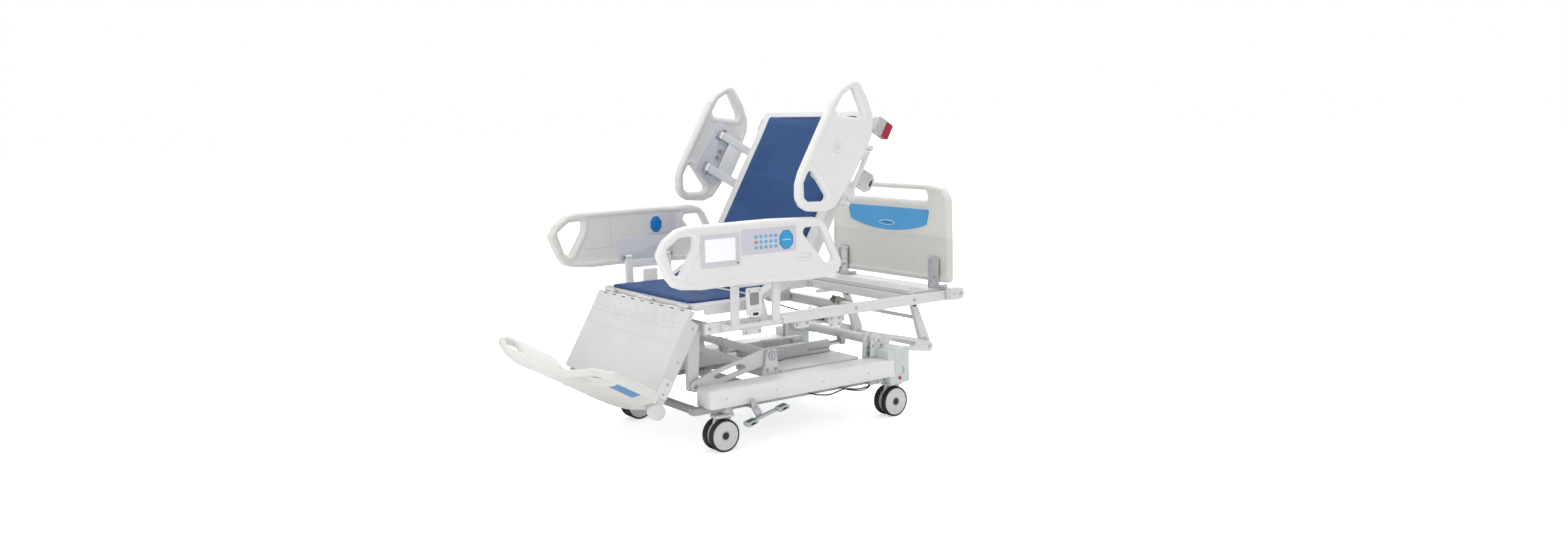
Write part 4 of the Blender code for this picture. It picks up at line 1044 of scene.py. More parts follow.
# plates on each side that carry the lift arms' pivots
TOWER_FOOT_Z = 0.212
TOWER_OUTER_Y = 0.3345
FOOT_TOWER = rounded([(-0.245, TOWER_FOOT_Z), (-0.120, TOWER_FOOT_Z), (-0.138, 0.345),
                      (-0.146, 0.412), (-0.194, 0.412), (-0.205, 0.345)], 0.010)
HEAD_TOWER = arch(HEAD_PIVOT, 0.052, TOWER_FOOT_Z, 0.045, 0.036)
shapes = []
for _, side in SIDES:
    shapes += [plate(tower, span(side, 0.3145, TOWER_OUTER_Y), 0.003)
               for tower in (FOOT_TOWER, HEAD_TOWER)]
    shapes += [box((x - 0.055, x + 0.055), span(side, 0.3145, 0.3440), (0.2150, 0.2210), 0.001)
               for x in (-0.182, 0.430)]
add("base_towers", COAT, "base", shapes)

TOWER_BOLTS = ((-0.152, 0.318), (-0.200, 0.318), (0.404, 0.345), (0.457, 0.345), (0.404, 0.318),
               (0.457, 0.318))    # (x, z)
shapes = []
for _, side in SIDES:
    y = side * TOWER_OUTER_Y
    boss_y = y + side * 0.009
    for x, z in (FOOT_PIVOT, HEAD_PIVOT):
        shapes += [cross_rod(x, z, (y, boss_y), 0.0235, 0.003, 32),
                   hexagon((x, boss_y, z), (0, side, 0), 0.0125, 0.006)]
    shapes += [bolt((x, y, z), (0, side, 0), 0.0058, 0.0042) for x, z in TOWER_BOLTS]
add("base_tower_bolts", ZINC, "base", shapes)

# ------------------------------------------------------------------ side covers
COVER_BOTTOM = 0.2155
for tag, side in SIDES:
    ys = span(side, 0.345, 0.477)
    add(f"cover_long_{tag}", WHITE, "base", [
        soft(rect((-0.600, 0.458), ys, [0.018, 0.004, 0.004, 0.018]), COVER_BOTTOM, 0.2995,
             0.0095, 0.003),
        box((-0.560, 0.452), span(side, 0.4755, 0.4782), (0.2240, 0.2270), 0.0009, 1),
    ], replaces=f"base_cover_{tag}")
    # pale green-grey head cover: a green tint, and darker than the white long cover as painted shade
    add(f"cover_head_{tag}", MINT, "base", [
        soft(rect((0.4595, 0.555), ys, [0.004, 0.014, 0.014, 0.004]), COVER_BOTTOM, 0.3475,
             0.012, 0.003),
        soft(rect((0.417, 0.461), (ys[0] + 0.002, ys[1] - 0.002), 0.004, 3), 0.2945, 0.3440,
             0.010, 0.002),
        plate(rect((0.430, 0.552), (0.1775, 0.240), 0.012), span(side, 0.430, 0.4758), 0.004, 3),
    ])
    # oval surround on the end face, with a black plate set in its opening as painted shade
    opening = ellipse(side * 0.436, 0.282, 0.0135, 0.026, 28)
    surround = ellipse(side * 0.436, 0.282, 0.020, 0.034, 28)
    add(f"cover_oval_{tag}", MINT_DARK, "base",
        [plate(surround, (0.5535, 0.5578), 0.0012, plane="end", holes=[opening])])
    add(f"cover_oval_shade_{tag}", BLACK, "base",
        [plate(opening, (0.5520, 0.5558), 0.0008, plane="end")])
    places = [(x, 0.2550) for x in (-0.52, -0.25, 0.02, 0.29, 0.505)] + [(0.505, 0.3150)]
    add(f"cover_screws_{tag}", ZINC, "base",
        [cap_screw((x, side * 0.4765, z), (0, side, 0), 0.0045, 0.0016) for x, z in places])

# red button and bracket at the head end of the near cover, and the grey box and cable under it
add("cover_red_stop", RED, "base", [
    lathe([(0, 0), (0, 0.0085), (0.004, 0.0085), (0.0065, 0.006), (0.0070, 0)],
          (0.4880, -0.4755, 0.2040), (0, -1, 0), 24),
])
add("cover_bracket", ZINC, "base", [
    pipe(soften_path([(0.512, -0.476, 0.252), (0.512, -0.4795, 0.252), (0.512, -0.4795, 0.226),
                      (0.512, -0.476, 0.226)], 0.003, 3), 0.0022, 8),
    box((0.505, 0.519), (-0.4785, -0.4750), (0.222, 0.256), 0.001),
])
add("junction_box", BOX_GREY, "base", [
    box((0.330, 0.4135), (-0.4400, -0.4160), (0.182, 0.2150), 0.004, 3),
    *[box((x, x + 0.012), (-0.4435, -0.4390), (0.188, 0.210), 0.001)
      for x in (0.340, 0.358, 0.376)],
])
add("base_cable_near", BLACK, "base", [
    cable([(0.336, -0.430, 0.186), (0.322, -0.430, 0.176), (0.260, -0.428, 0.172),
           (0.180, -0.430, 0.190), (0.090, -0.428, 0.170), (0.000, -0.428, 0.186),
           (-0.060, -0.426, 0.213)], 0.0034),
    cable([(0.346, -0.424, 0.186), (0.335, -0.424, 0.170), (0.290, -0.422, 0.160),
           (0.200, -0.424, 0.178), (0.130, -0.421, 0.212)], 0.0026),
])

# ------------------------------------------------------------------ centre cover, power box
shapes = [soft(rect((-0.105, 0.370), (-0.3125, 0.3125), 0.016), 0.2845, 0.2998, 0.005, 0.003,
               grid=0.06),
          soft(rect((-0.085, 0.350), (-0.120, 0.120), 0.014), 0.2300, 0.2860, 0.003, 0.008,
               grid=0.06)]
for _, side in SIDES:
    for k in range(5):
        x = -0.06 + 0.095 * k
        shapes.append(box((x, x + 0.055), span(side, 0.1190, 0.1215), (0.252, 0.256), 0.0008, 1))
add("centre_plate", LIGHT_GREY_COAT, "base", shapes, replaces="base_centre_cover")
add("centre_plate_screws", ZINC, "base",
    [cap_screw((x, y, 0.2996), (0, 0, 1), 0.0045, 0.0012)
     for x in (-0.088, 0.352) for y in (-0.262, -0.165, 0.165, 0.262)])

shapes = [box((0.235, 0.345), (-0.340, -0.190), (0.2300, 0.2832), 0.005, 3)]
for k in range(7):
    y = -0.325 + 0.014 * k
    shapes.append(box((0.2340, 0.2365), (y, y + 0.006), (0.240, 0.268), 0.0008, 1))
for k in range(6):
    x = 0.248 + 0.014 * k
    shapes.append(box((x, x + 0.006), (-0.3412, -0.3385), (0.240, 0.272), 0.0008, 1))
add("power_supply", BOX_GREY, "base", shapes, replaces="power_box", slot="white_steel")
add("power_supply_cable", BLACK, "base", [
    cross_rod(0.290, 0.252, (-0.190, -0.178), 0.008),
    cable([(0.290, -0.180, 0.252), (0.290, -0.160, 0.250), (0.270, -0.140, 0.244),
           (0.240, -0.118, 0.250)], 0.0035),
    rod((0.2335, -0.220, 0.256), (0.240, -0.220, 0.256), 0.010),
])

# ------------------------------------------------------------------ castors
W = WHEEL_WIDTH
# (distance outwards from the wheel's inner face, radius); the radii end at the wheel's own
TYRE_PROFILE = [
    (0.0006, 0.064), (0.0004, 0.0705), (0.0022, 0.0736), (0.0065, 0.0748), (0.0120, 0.0750),
    (0.0125, 0.0742), (0.0133, 0.0742), (0.0138, 0.0750), (0.0170, 0.0750), (0.0175, 0.0742),
    (0.0183, 0.0742), (0.0188, 0.0750), (W - 0.0065, 0.0748), (W - 0.0022, 0.0736),
    (W - 0.0008, 0.0712), (W - 0.0006, 0.0680), (W - 0.0018, 0.0658), (W - 0.006, 0.0640)]
DISC_PROFILE = [
    (0.0010, 0.012), (0.0010, 0.0635), (0.0050, 0.0642), (W - 0.0050, 0.0650),
    (W - 0.0018, 0.0654), (W - 0.0008, 0.0644), (W - 0.0008, 0.0624), (W - 0.0022, 0.0606),
    (W - 0.0034, 0.0580), (W - 0.0030, 0.0480), (W - 0.0016, 0.0360), (W - 0.0008, 0.0260),
    (W - 0.0016, 0.0220), (W - 0.0040, 0.0210), (W - 0.0075, 0.012)]
CAP_RING_PROFILE = [
    (W - 0.0040, 0.0165), (W - 0.0040, 0.0215), (W - 0.0004, 0.0213), (W + 0.0006, 0.0203),
    (W + 0.0006, 0.0185), (W - 0.0006, 0.0170)]
CAP_PROFILE = [
    (W - 0.0080, 0), (W - 0.0080, 0.0170), (W - 0.0008, 0.0170), (W + 0.0004, 0.0158),
    (W + 0.0002, 0.0120), (W - 0.0012, 0.0105), (W - 0.0012, 0.0080), (W + 0.0012, 0.0070),
    (W + 0.0018, 0.0050), (W + 0.0018, 0)]
# (z, radius) about the swivel axis
SWIVEL_NUT = [(0.1450, 0), (0.1450, 0.008), (0.1480, 0.0105), (0.1555, 0.0105), (0.1562, 0.0)]
SWIVEL_DISC = [(0.1700, 0.0), (0.1700, 0.0215), (0.1717, 0.0225), (0.1722, 0.0205), (0.1722, 0)]
NECK_PROFILE = [
    (0.1728, 0.0200), (0.1728, 0.0300), (0.1745, 0.0315), (0.1900, 0.0315), (0.1930, 0.0290),
    (0.2150, 0.0285), (0.2150, 0.0200)]


def wheel_spokes(axle_x, face_y):
    """Ten shallow spokes standing on the outer face of a wheel disc."""
    out = []
    centre = np.array([axle_x, face_y, WHEEL_RADIUS])
    for k in range(10):
        g = 2 * math.pi * (k + 0.5) / 10
        ray = np.array([math.cos(g), 0, math.sin(g)])
        out.append(pipe([centre + ray * r for r in (0.0400, 0.0480, 0.0560)], 0.0011, 8))
    return out


def castor(end, tag, x, y):
    corner = f"{end}_{tag}"
    swivel, wheel = f"swivel_{corner}", f"wheel_{corner}"
    axle_x = x - CASTOR_TRAIL
    add(f"castor_hood_{corner}", SHADE_WHITE, swivel, [
        plate(rounded([(x + 0.021, 0.140), (x + 0.026, 0.168), (x - 0.060, 0.168),
                       (axle_x - 0.040, 0.128), (axle_x - 0.018, 0.062),
                       (axle_x + 0.018, 0.062)], 0.012), (y - 0.009, y + 0.009), 0.0035, 3),
        soft(rounded([(x + 0.030, y - 0.036), (x + 0.030, y + 0.036), (x - 0.073, y + 0.036),
                      (x - 0.073, y - 0.036)], 0.020), 0.1562, 0.1712, 0.009, 0.002, grid=0.03),
    ], replaces=f"castor_fork_{corner}", slot="pale_green")
    add(f"castor_hub_{corner}", ZINC, swivel, [
        lathe(SWIVEL_NUT, (x, y, 0), (0, 0, 1), 24),
        cross_rod(axle_x, WHEEL_RADIUS, (y - 0.0105, y + 0.0105), 0.0088),
        lathe(SWIVEL_DISC, (x, y, 0), (0, 0, 1), 28),
    ])
    tyres, discs, rings, caps = [], [], [], []
    for out in (-1, 1):
        inner_y = y + out * 0.0127
        at, axis = (axle_x, inner_y, WHEEL_RADIUS), (0, out, 0)
        tyres.append(ring(TYRE_PROFILE, at, axis, 72))
        discs += [ring(DISC_PROFILE, at, axis, 72),
                  wheel_spokes(axle_x, inner_y + out * (W - 0.0032))]
        rings.append(ring(CAP_RING_PROFILE, at, axis, 48))
        caps.append(lathe(CAP_PROFILE, at, axis, 40))
    add(f"castor_tyre_{corner}", TYRE, wheel, tyres, replaces=f"castor_wheel_{corner}")
    add(f"castor_disc_{corner}", SHADE_WHITE, wheel, discs)
    add(f"castor_cap_ring_{corner}", BOX_GREY, wheel, rings)
    add(f"castor_cap_{corner}", DARK, wheel, caps)


for end, castor_x in CASTOR_X.items():
    for tag, side in SIDES:
        castor(end, tag, castor_x, side * CASTOR_Y)

# round necks between the castor hoods and the covers
for end, castor_x in CASTOR_X.items():
    for tag, side in SIDES:
        add(f"castor_neck_{end}_{tag}", SHADE_WHITE, "base",
            [ring(NECK_PROFILE, (castor_x, side * CASTOR_Y, 0), (0, 0, 1), 40)])

# outer ears and collars of the head pivot
x, z = HEAD_PIVOT
for tag, side in SIDES:
    add(f"head_pivot_ear_{tag}", COAT, "base", [
        plate(arch(HEAD_PIVOT, 0.042, 0.301, 0.036, 0.030), span(side, 0.3660, 0.3760), 0.003),
        cross_rod(x, z, (side * 0.3420, side * 0.3665), 0.0285, 0.004, 40),
        cross_rod(x, z, (side * 0.3755, side * 0.3860), 0.0220, 0.004, 36),
    ])
    add(f"head_pivot_ear_bolts_{tag}", ZINC, "base", [
        hexagon((x, side * 0.3860, z), (0, side, 0), 0.0100, 0.0050),
        *[bolt((x + dx, side * 0.3760, 0.358), (0, side, 0), 0.0052, 0.0036)
          for dx in (-0.026, 0.026)],
    ])

# ------------------------------------------------------------------ brake pedals
PEDAL_PIVOT = (-0.380, 0.200)                           # (x, z)
PEDAL_ENDS = ((-0.436, 0.136), (-0.233, 0.185))         # sloping bar, (x, z)
PEDAL_CRANK = rounded([(-0.408, 0.238), (-0.388, 0.240), (-0.350, 0.178), (-0.352, 0.150),
                       (-0.372, 0.148), (-0.402, 0.198)], 0.008)
for tag, side in SIDES:
    start, length, along, up = bar_axes(*PEDAL_ENDS)
    x, z = PEDAL_PIVOT
    bar = on_bar(start, along, up, [(0, -0.006), (length, -0.006), (length, 0.007), (0, 0.007)])
    add(f"pedal_bar_{tag}", ZINC, f"brake_{tag}", [
        plate(PEDAL_CRANK, span(side, 0.492, 0.502)),
        cross_rod(x, z, (side * 0.4158, side * 0.5050), 0.0103),
        hexagon((x, side * 0.5050, z), (0, side, 0), 0.0080, 0.0045),
        plate(bar, span(side, 0.498, 0.518), 0.0025),
    ], replaces=f"brake_pedal_{tag}")
    pads, grips = [], []
    for centre in (start + along * 0.016, Vector(PEDAL_ENDS[1]) - along * 0.016):
        outline = on_bar(centre, along, up, [(-0.028, -0.010), (0.028, -0.010), (0.028, 0.011),
                                             (-0.028, 0.011)])
        pads.append(plate(rounded(outline, 0.0075, 5), span(side, 0.494, 0.538), 0.004, 4))
        for k in (-0.017, -0.0085, 0.0, 0.0085, 0.017):
            at = centre + along * k + up * 0.0105
            rib = on_bar(at, along, up, [(-0.0022, -0.0015), (0.0022, -0.0015),
                                         (0.0022, 0.0016), (-0.0022, 0.0016)])
            grips.append(plate(rib, span(side, 0.499, 0.533), 0.0006, 1))
        # dark oval on the outer end of each pad
        oval = on_bar(centre, along, up, ellipse(0, 0, 0.015, 0.0045, 20))
        grips.append(plate(oval, span(side, 0.5365, 0.5390), 0.0006, 1))
    add(f"pedal_pads_{tag}", MINT_DARK, f"brake_{tag}", pads)
    add(f"pedal_grips_{tag}", BLACK, f"brake_{tag}", grips)


# ------------------------------------------------------------------ lift arms
def lift_arm(end, pivot, tip, lever_y):
    """Two pierced side plates on a cross shaft, with a lever for the actuator."""
    start, length, along, up = bar_axes(pivot, tip)
    if tip[0] < pivot[0]:
        up = -up
    outline = rounded(on_bar(start, along, up, [
        (-0.030, -0.026), (0.055, -0.040), (length - 0.12, -0.034), (length + 0.022, -0.024),
        (length + 0.022, 0.024), (length - 0.10, 0.034), (0.050, 0.034), (-0.030, 0.026)]),
        0.018, 5)
    hole = rounded(on_bar(start, along, up, [
        (0.125, -0.018), (length - 0.125, -0.014), (length - 0.085, 0.014), (0.165, 0.016)]),
        0.008, 4)
    lip = inset(hole, -0.005)
    x, z = pivot
    shapes = [cross_rod(x, z, (-0.3110, 0.3110), 0.0200, segments=32)]
    for _, side in SIDES:
        shapes += [plate(outline, span(side, 0.2935, 0.3115), 0.0022, holes=[hole]),
                   plate(lip, span(side, 0.2918, 0.2938), 0.0006, 1, holes=[hole])]
    tie_x, tie_z = on_bar(start, along, up, [(0.085, -0.020)])[0]
    shapes.append(cross_rod(tie_x, tie_z, (-0.300, 0.300), 0.014, segments=28))
    lever = rounded([(x - 0.018, z), (x + 0.018, z), (x + 0.011, z - 0.060),
                     (x - 0.011, z - 0.060)], 0.006)
    for t in (-1, 1):
        outer = lever_y + t * 0.0210
        shapes += [plate(lever, sorted((lever_y + t * 0.0130, outer)), 0.0012),
                   cross_rod(x, z, (outer, lever_y + t * 0.028), 0.0245, 0.003, 32)]
    add(f"lift_arm_{end}_plates", COAT, f"{end}_arm", shapes, replaces=f"{end}_lift_arm")
    pins = []
    for _, side in SIDES:
        pins += [cross_rod(*tip, (side * 0.2925, side * 0.3130), 0.0115),
                 hexagon((tip[0], side * 0.3130, tip[1]), (0, side, 0), 0.0085, 0.0016)]
    pins += [hexagon((x, lever_y + t * 0.0210, z - 0.047), (0, t, 0), 0.0070, 0.0040)
             for t in (-1, 1)]
    add(f"lift_arm_{end}_pins", ZINC, f"{end}_arm", pins)


lift_arm("foot", FOOT_PIVOT, FOOT_TIP, FOOT_LIFT_Y)
lift_arm("head", HEAD_PIVOT, HEAD_TIP, HEAD_LIFT_Y)


# ------------------------------------------------------------------ lift actuators
def rod_eye(x, y, z, sign, bore, outer, pin_radius, pin_half):
    """The eye at a piston's end, its hexagonal nut and its pin."""
    profile = [(-0.0103, bore), (-0.0103, outer - 0.001), (-0.0090, outer), (0.0090, outer),
               (0.0103, outer - 0.001), (0.0103, bore)]
    return [
        ring(profile, (x, y, z), (0, 1, 0), 32),
        rod((x + sign * 0.010, y, z), (x + sign * 0.030, y, z), 0.0098, segments=6),
        cross_rod(x, z, (y - pin_half, y + pin_half), pin_radius),
    ]


def lift_actuator(end, pivot_x, y, far_x):
    """Motor lying along x from near the pivot to far_x, and its piston."""
    z = LIFT_ROD_Z
    sign = 1 if far_x > pivot_x else -1
    mouth = pivot_x + sign * 0.085
    case_lo, case_hi = sorted((far_x - sign * 0.075, far_x - sign * 0.002))
    sleeve = [(0.0, 0.0150), (0.0, 0.0215), (0.012, 0.0236), (0.150, 0.0236), (0.150, 0.0150)]
    shapes = [
        ring(sleeve, (mouth, y, z), (sign, 0, 0), 36),
        box(sorted((mouth + sign * 0.145, far_x)), (y - 0.025, y + 0.025), (0.3010, 0.3618),
            0.007, 3),
        box(sorted((mouth + sign * 0.006, mouth + sign * 0.150)), (y - 0.0245, y + 0.0245),
            (0.3010, 0.3200), 0.004, 3),
        box((case_lo, case_hi), (y - 0.044, y + 0.044), (0.3010, 0.3558), 0.010, 4)]
    for k in range(6):
        x = case_lo + 0.010 + 0.010 * k
        shapes.append(box((x, x + 0.004), (y - 0.0452, y + 0.0452), (0.306, 0.350), 0.0012, 1))
    add(f"lift_actuator_{end}", MOTOR, "base", shapes, replaces=f"lift_motor_{end}")
    add(f"lift_actuator_{end}_bolts", ZINC, "base",
        [bolt((x, y + dy, 0.3556), (0, 0, 1), 0.0040, 0.0030)
         for dy in (-0.030, 0.030) for x in (case_lo + 0.012, case_hi - 0.012)])
    x = case_lo + 0.03
    add(f"lift_actuator_{end}_cable", BLACK, "base", [
        cross_rod(x, 0.325, (y + 0.043, y + 0.052), 0.007),
        cable([(x, y + 0.050, 0.325), (x, y + 0.066, 0.325), (case_lo + 0.02, y + 0.075, 0.3055),
               (case_lo - 0.02 * sign, y + 0.10, 0.3040)], 0.003, bend=0.010),
    ])
    add(f"lift_piston_{end}", POLISHED, f"lift_rod_{end}",
        [rod((pivot_x + sign * 0.012, y, z), (mouth + sign * 0.095, y, z), 0.0115, segments=32)],
        replaces=f"lift_rod_{end}")
    add(f"lift_eye_{end}", ZINC, f"lift_rod_{end}",
        rod_eye(pivot_x, y, z, sign, bore=0.0065, outer=0.0150, pin_radius=0.0064,
                pin_half=0.0104))


lift_actuator("foot", FOOT_PIVOT[0], FOOT_LIFT_Y, 0.300)
lift_actuator("head", HEAD_PIVOT[0], HEAD_LIFT_Y, -0.030)

# ------------------------------------------------------------------ head link
x, z = HEAD_TIP
roller_x, roller_z = x - 0.082, 0.5185
arm = rounded([(x - 0.026, z - 0.010), (x - 0.014, z - 0.022), (x + 0.012, z - 0.023),
               (x + 0.025, z + 0.030), (roller_x + 0.019, roller_z - 0.002),
               (roller_x - 0.017, roller_z - 0.003)],
              [0.008, 0.008, 0.010, 0.010, 0.008, 0.008])
add("head_link_arms", COAT, "head_link", [
    cross_rod(x, z, (-0.2915, 0.2915), 0.0140, segments=28),
    *[plate(arm, span(side, 0.2622, 0.2898), 0.0045, 3) for _, side in SIDES],
    cross_rod(roller_x + 0.0265, roller_z - 0.0765, (-0.273, 0.273), 0.010),
], replaces="head_link")
ROLLER_PROFILE = [(-0.016, 0), (-0.016, 0.012), (-0.0145, 0.0150), (0.0145, 0.0150),
                  (0.016, 0.012), (0.016, 0)]
add("head_link_rollers", DARK, "head_link",
    [lathe(ROLLER_PROFILE, (roller_x, side * 0.276, roller_z), (0, side, 0), 36)
     for _, side in SIDES])
add("head_link_bolts", ZINC, "head_link", [
    [hexagon((roller_x, side * 0.2915, roller_z), (0, side, 0), 0.0065, 0.0035),
     bolt((x - 0.012, side * 0.2898, z + 0.045), (0, side, 0), 0.0045, 0.0028)]
    for _, side in SIDES])

# ------------------------------------------------------------------ upper frame
UPRIGHT_X = -0.300                     # hinge uprights
shapes = [box((-0.600, 0.885), span(side, 0.410, 0.440), (0.545, 0.595), 0.006, 3)
          for _, side in SIDES]
CROSS_MEMBERS = ((-0.595, -0.555), (0.230, 0.270), (0.600, 0.640), (0.845, 0.880))
shapes += [box(xs, (-0.4120, 0.4120), (0.5465, 0.5935), 0.005, 3) for xs in CROSS_MEMBERS]
FOOT_HANGER = rounded([(-0.602, 0.552), (-0.602, 0.266), (-0.548, 0.266), (-0.540, 0.400),
                       (-0.530, 0.552)], 0.012)
HINGE_UPRIGHT = rounded([(-0.345, 0.560), (-0.255, 0.560), (-0.284, 0.676), (-0.316, 0.676)],
                        [0.003, 0.003, 0.014, 0.014])
UPRIGHT_FOOT = [(-0.345, 0.600), (-0.255, 0.600), (-0.262, 0.575), (-0.338, 0.575)]
for _, side in SIDES:
    shapes += [
        plate(FOOT_HANGER, span(side, 0.2622, 0.2898), 0.005, 3),
        plate(HINGE_UPRIGHT, span(side, 0.4327, 0.4443)),
        plate(UPRIGHT_FOOT, span(side, 0.4405, 0.4465), 0.001),
        # track under the head end
        plate(rect(span(side, 0.256, 0.296), (0.5355, 0.5500), 0.003, 3), (0.560, 0.868),
              0.0012, plane="end")]
    lug = rounded([(side * 0.435, 0.552), (side * 0.490, 0.556), (side * 0.490, 0.584),
                   (side * 0.435, 0.588)], 0.006)
    shapes += [plate(lug, xs, plane="end") for xs in ((-0.520, -0.500), (-0.210, -0.190))]
    shapes.append(box((-0.405, -0.305), span(side, 0.4385, 0.452), (0.520, 0.592), 0.003))
    # thin gussets at the cross members
    for x in (0.2285, 0.2715, 0.5985, 0.6415):
        gusset = [(x - 0.0015, side * 0.411), (x - 0.0015, side * 0.380),
                  (x + 0.0015, side * 0.380), (x + 0.0015, side * 0.411)]
        shapes.append(plate(gusset, (0.548, 0.592), 0.0004, plane="top"))
add("frame_rails", COAT, "upper_frame", shapes, replaces="upper_frame")
add("frame_caps", BOX_GREY, "upper_frame",
    [box((-0.6030, -0.5985), span(side, 0.412, 0.438), (0.547, 0.593), 0.002)
     for _, side in SIDES])

# (x, y, z, radius, height)
FRAME_BOLTS = [(-0.575, 0.2898, 0.290, 0.0090, 0.0030), (-0.575, 0.2898, 0.520, 0.0055, 0.0030)]
FRAME_BOLTS += [(x, 0.452, z, 0.0042, 0.0028) for x in (-0.392, -0.318) for z in (0.532, 0.578)]
shapes = []
for _, side in SIDES:
    out = (0, side, 0)
    shapes += [bolt((x, side * 0.4400, 0.570), out, 0.0055, 0.0035)
               for x in (-0.5750, 0.2500, 0.6200)]
    shapes.append(hexagon((UPRIGHT_X, side * 0.4443, 0.667), out, 0.0095, 0.0045))
    shapes += [bolt((x, side * y, z), out, r, h) for x, y, z, r, h in FRAME_BOLTS]
    shapes.append(cross_rod(UPRIGHT_X, 0.667, (side * 0.4200, side * 0.4440), 0.0070))
add("frame_bolts", ZINC, "upper_frame", shapes)

# two bolted plates under each frame rail
HEAD_BRACKET = rounded([(0.100, 0.546), (0.100, 0.505), (0.116, 0.490), (0.168, 0.490),
                        (0.180, 0.505), (0.180, 0.546)], 0.006)
FOOT_BRACKET = rounded([(-0.100, 0.546), (-0.100, 0.520), (-0.090, 0.510), (-0.020, 0.510),
                        (-0.010, 0.520), (-0.010, 0.546)], 0.006)
add("frame_brackets", LIGHT_GREY_COAT, "upper_frame",
    [plate(outline, span(side, 0.4130, 0.4190), 0.0010)
     for _, side in SIDES for outline in (HEAD_BRACKET, FOOT_BRACKET)])
BRACKET_BOLTS = [(0.116, 0.504), (0.116, 0.532), (0.164, 0.504), (0.164, 0.532),
                 (-0.085, 0.528), (-0.025, 0.528)]    # (x, z)
add("frame_bracket_bolts", ZINC, "upper_frame",
    [bolt((x, side * 0.4190, z), (0, side, 0), 0.0045, 0.0030)
     for _, side in SIDES for x, z in BRACKET_BOLTS])

# head deck plate: a sheet with three slots on each side and a lip towards the foot
slots = [rect((x, x + 0.010), (y - 0.026, y + 0.026), 0.0045, 3)
         for x in (0.668 + 0.030 * k for k in range(3)) for y in (-0.335, 0.335)]
add("head_deck_sheet", DECK_COAT, "upper_frame", [
    plate(rect((0.605, 0.885), (-0.405, 0.405), 0.008), (0.5956, 0.6034), plane="top",
          holes=slots),
    plate(rect((0.610, 0.628), (0.598, 0.616), 0.005), (-0.400, 0.400), 0.002),
    *[box((0.660, 0.800), (y - 0.016, y + 0.016), (0.6026, 0.6044), 0.0008, 1)
      for y in (-0.20, 0.0, 0.20)],
], replaces="head_deck_plate")
add("head_deck_screws", ZINC, "upper_frame",
    [cap_screw((x, y, 0.6030), (0, 0, 1), 0.0045, 0.0012)
     for x in (0.645, 0.868) for y in (-0.385, -0.13, 0.13, 0.385)])

# control box with its plugs and cables
add("control_unit", BOX_GREY, "upper_frame", [
    box((0.195, 0.300), (-0.285, -0.150), (0.4850, 0.5444), 0.005, 3),
    box((0.192, 0.303), (-0.288, -0.147), (0.5120, 0.5160), 0.0015),
    *[box((0.215 + 0.016 * k, 0.223 + 0.016 * k), (-0.2862, -0.2840), (0.492, 0.507), 0.0006, 1)
      for k in range(5)],
], replaces="control_box", slot="white_steel")
PLUG_PROFILE = [(0, 0), (0, 0.0098), (0.004, 0.0098), (0.005, 0.0085), (0.010, 0.0080),
                (0.013, 0.0045), (0.013, 0)]
add("control_plugs", BLACK, "upper_frame", [
    *[lathe(PLUG_PROFILE, (0.1955, y, 0.505), (-1, 0, 0), 24) for y in (-0.250, -0.220, -0.190)],
    cable([(0.184, -0.250, 0.505), (0.165, -0.250, 0.505), (0.150, -0.250, 0.525),
           (0.110, -0.262, 0.540), (0.020, -0.300, 0.541), (-0.080, -0.380, 0.543)], 0.0032),
    cable([(0.184, -0.220, 0.505), (0.160, -0.220, 0.505), (0.140, -0.200, 0.528),
           (0.140, -0.100, 0.536), (0.150, 0.040, 0.540), (0.160, 0.085, 0.549)], 0.0032),
    cable([(0.184, -0.190, 0.505), (0.166, -0.190, 0.505), (0.156, -0.180, 0.522),
           (0.210, -0.120, 0.538), (0.232, -0.105, 0.541)], 0.0028),
])

# backrest actuator
sleeve = [(0.0, 0.0152), (0.0, 0.0225), (0.010, 0.0255), (0.200, 0.0260), (0.200, 0.0152)]
shapes = [ring(sleeve, (-0.110, BACK_LIFT_Y, BACK_LIFT_Z), (1, 0, 0), 36),
          box((0.080, 0.2285), (0.0735, 0.1265), (0.5735, 0.6265), 0.007, 3),
          box((0.120, 0.2265), (0.0555, 0.1445), (0.5535, 0.6195), 0.010, 4)]
for k in range(7):
    x = 0.134 + 0.012 * k
    shapes.append(box((x, x + 0.005), (0.0545, 0.1455), (0.560, 0.612), 0.0012, 1))
add("back_actuator", MOTOR, "upper_frame", shapes, replaces="back_motor")
eye_x = HIP_JOINT.x - BASE_X + LEVER_REACH * math.sin(RAD(30))
add("back_piston", POLISHED, "back_rod",
    [rod((eye_x + 0.012, BACK_LIFT_Y, BACK_LIFT_Z), (0.020, BACK_LIFT_Y, BACK_LIFT_Z), 0.0115,
         segments=32)], replaces="back_rod")
add("back_piston_eye", ZINC, "back_rod",
    rod_eye(eye_x, BACK_LIFT_Y, BACK_LIFT_Z, 1, bore=0.0060, outer=0.0145, pin_radius=0.0060,
            pin_half=0.0103))

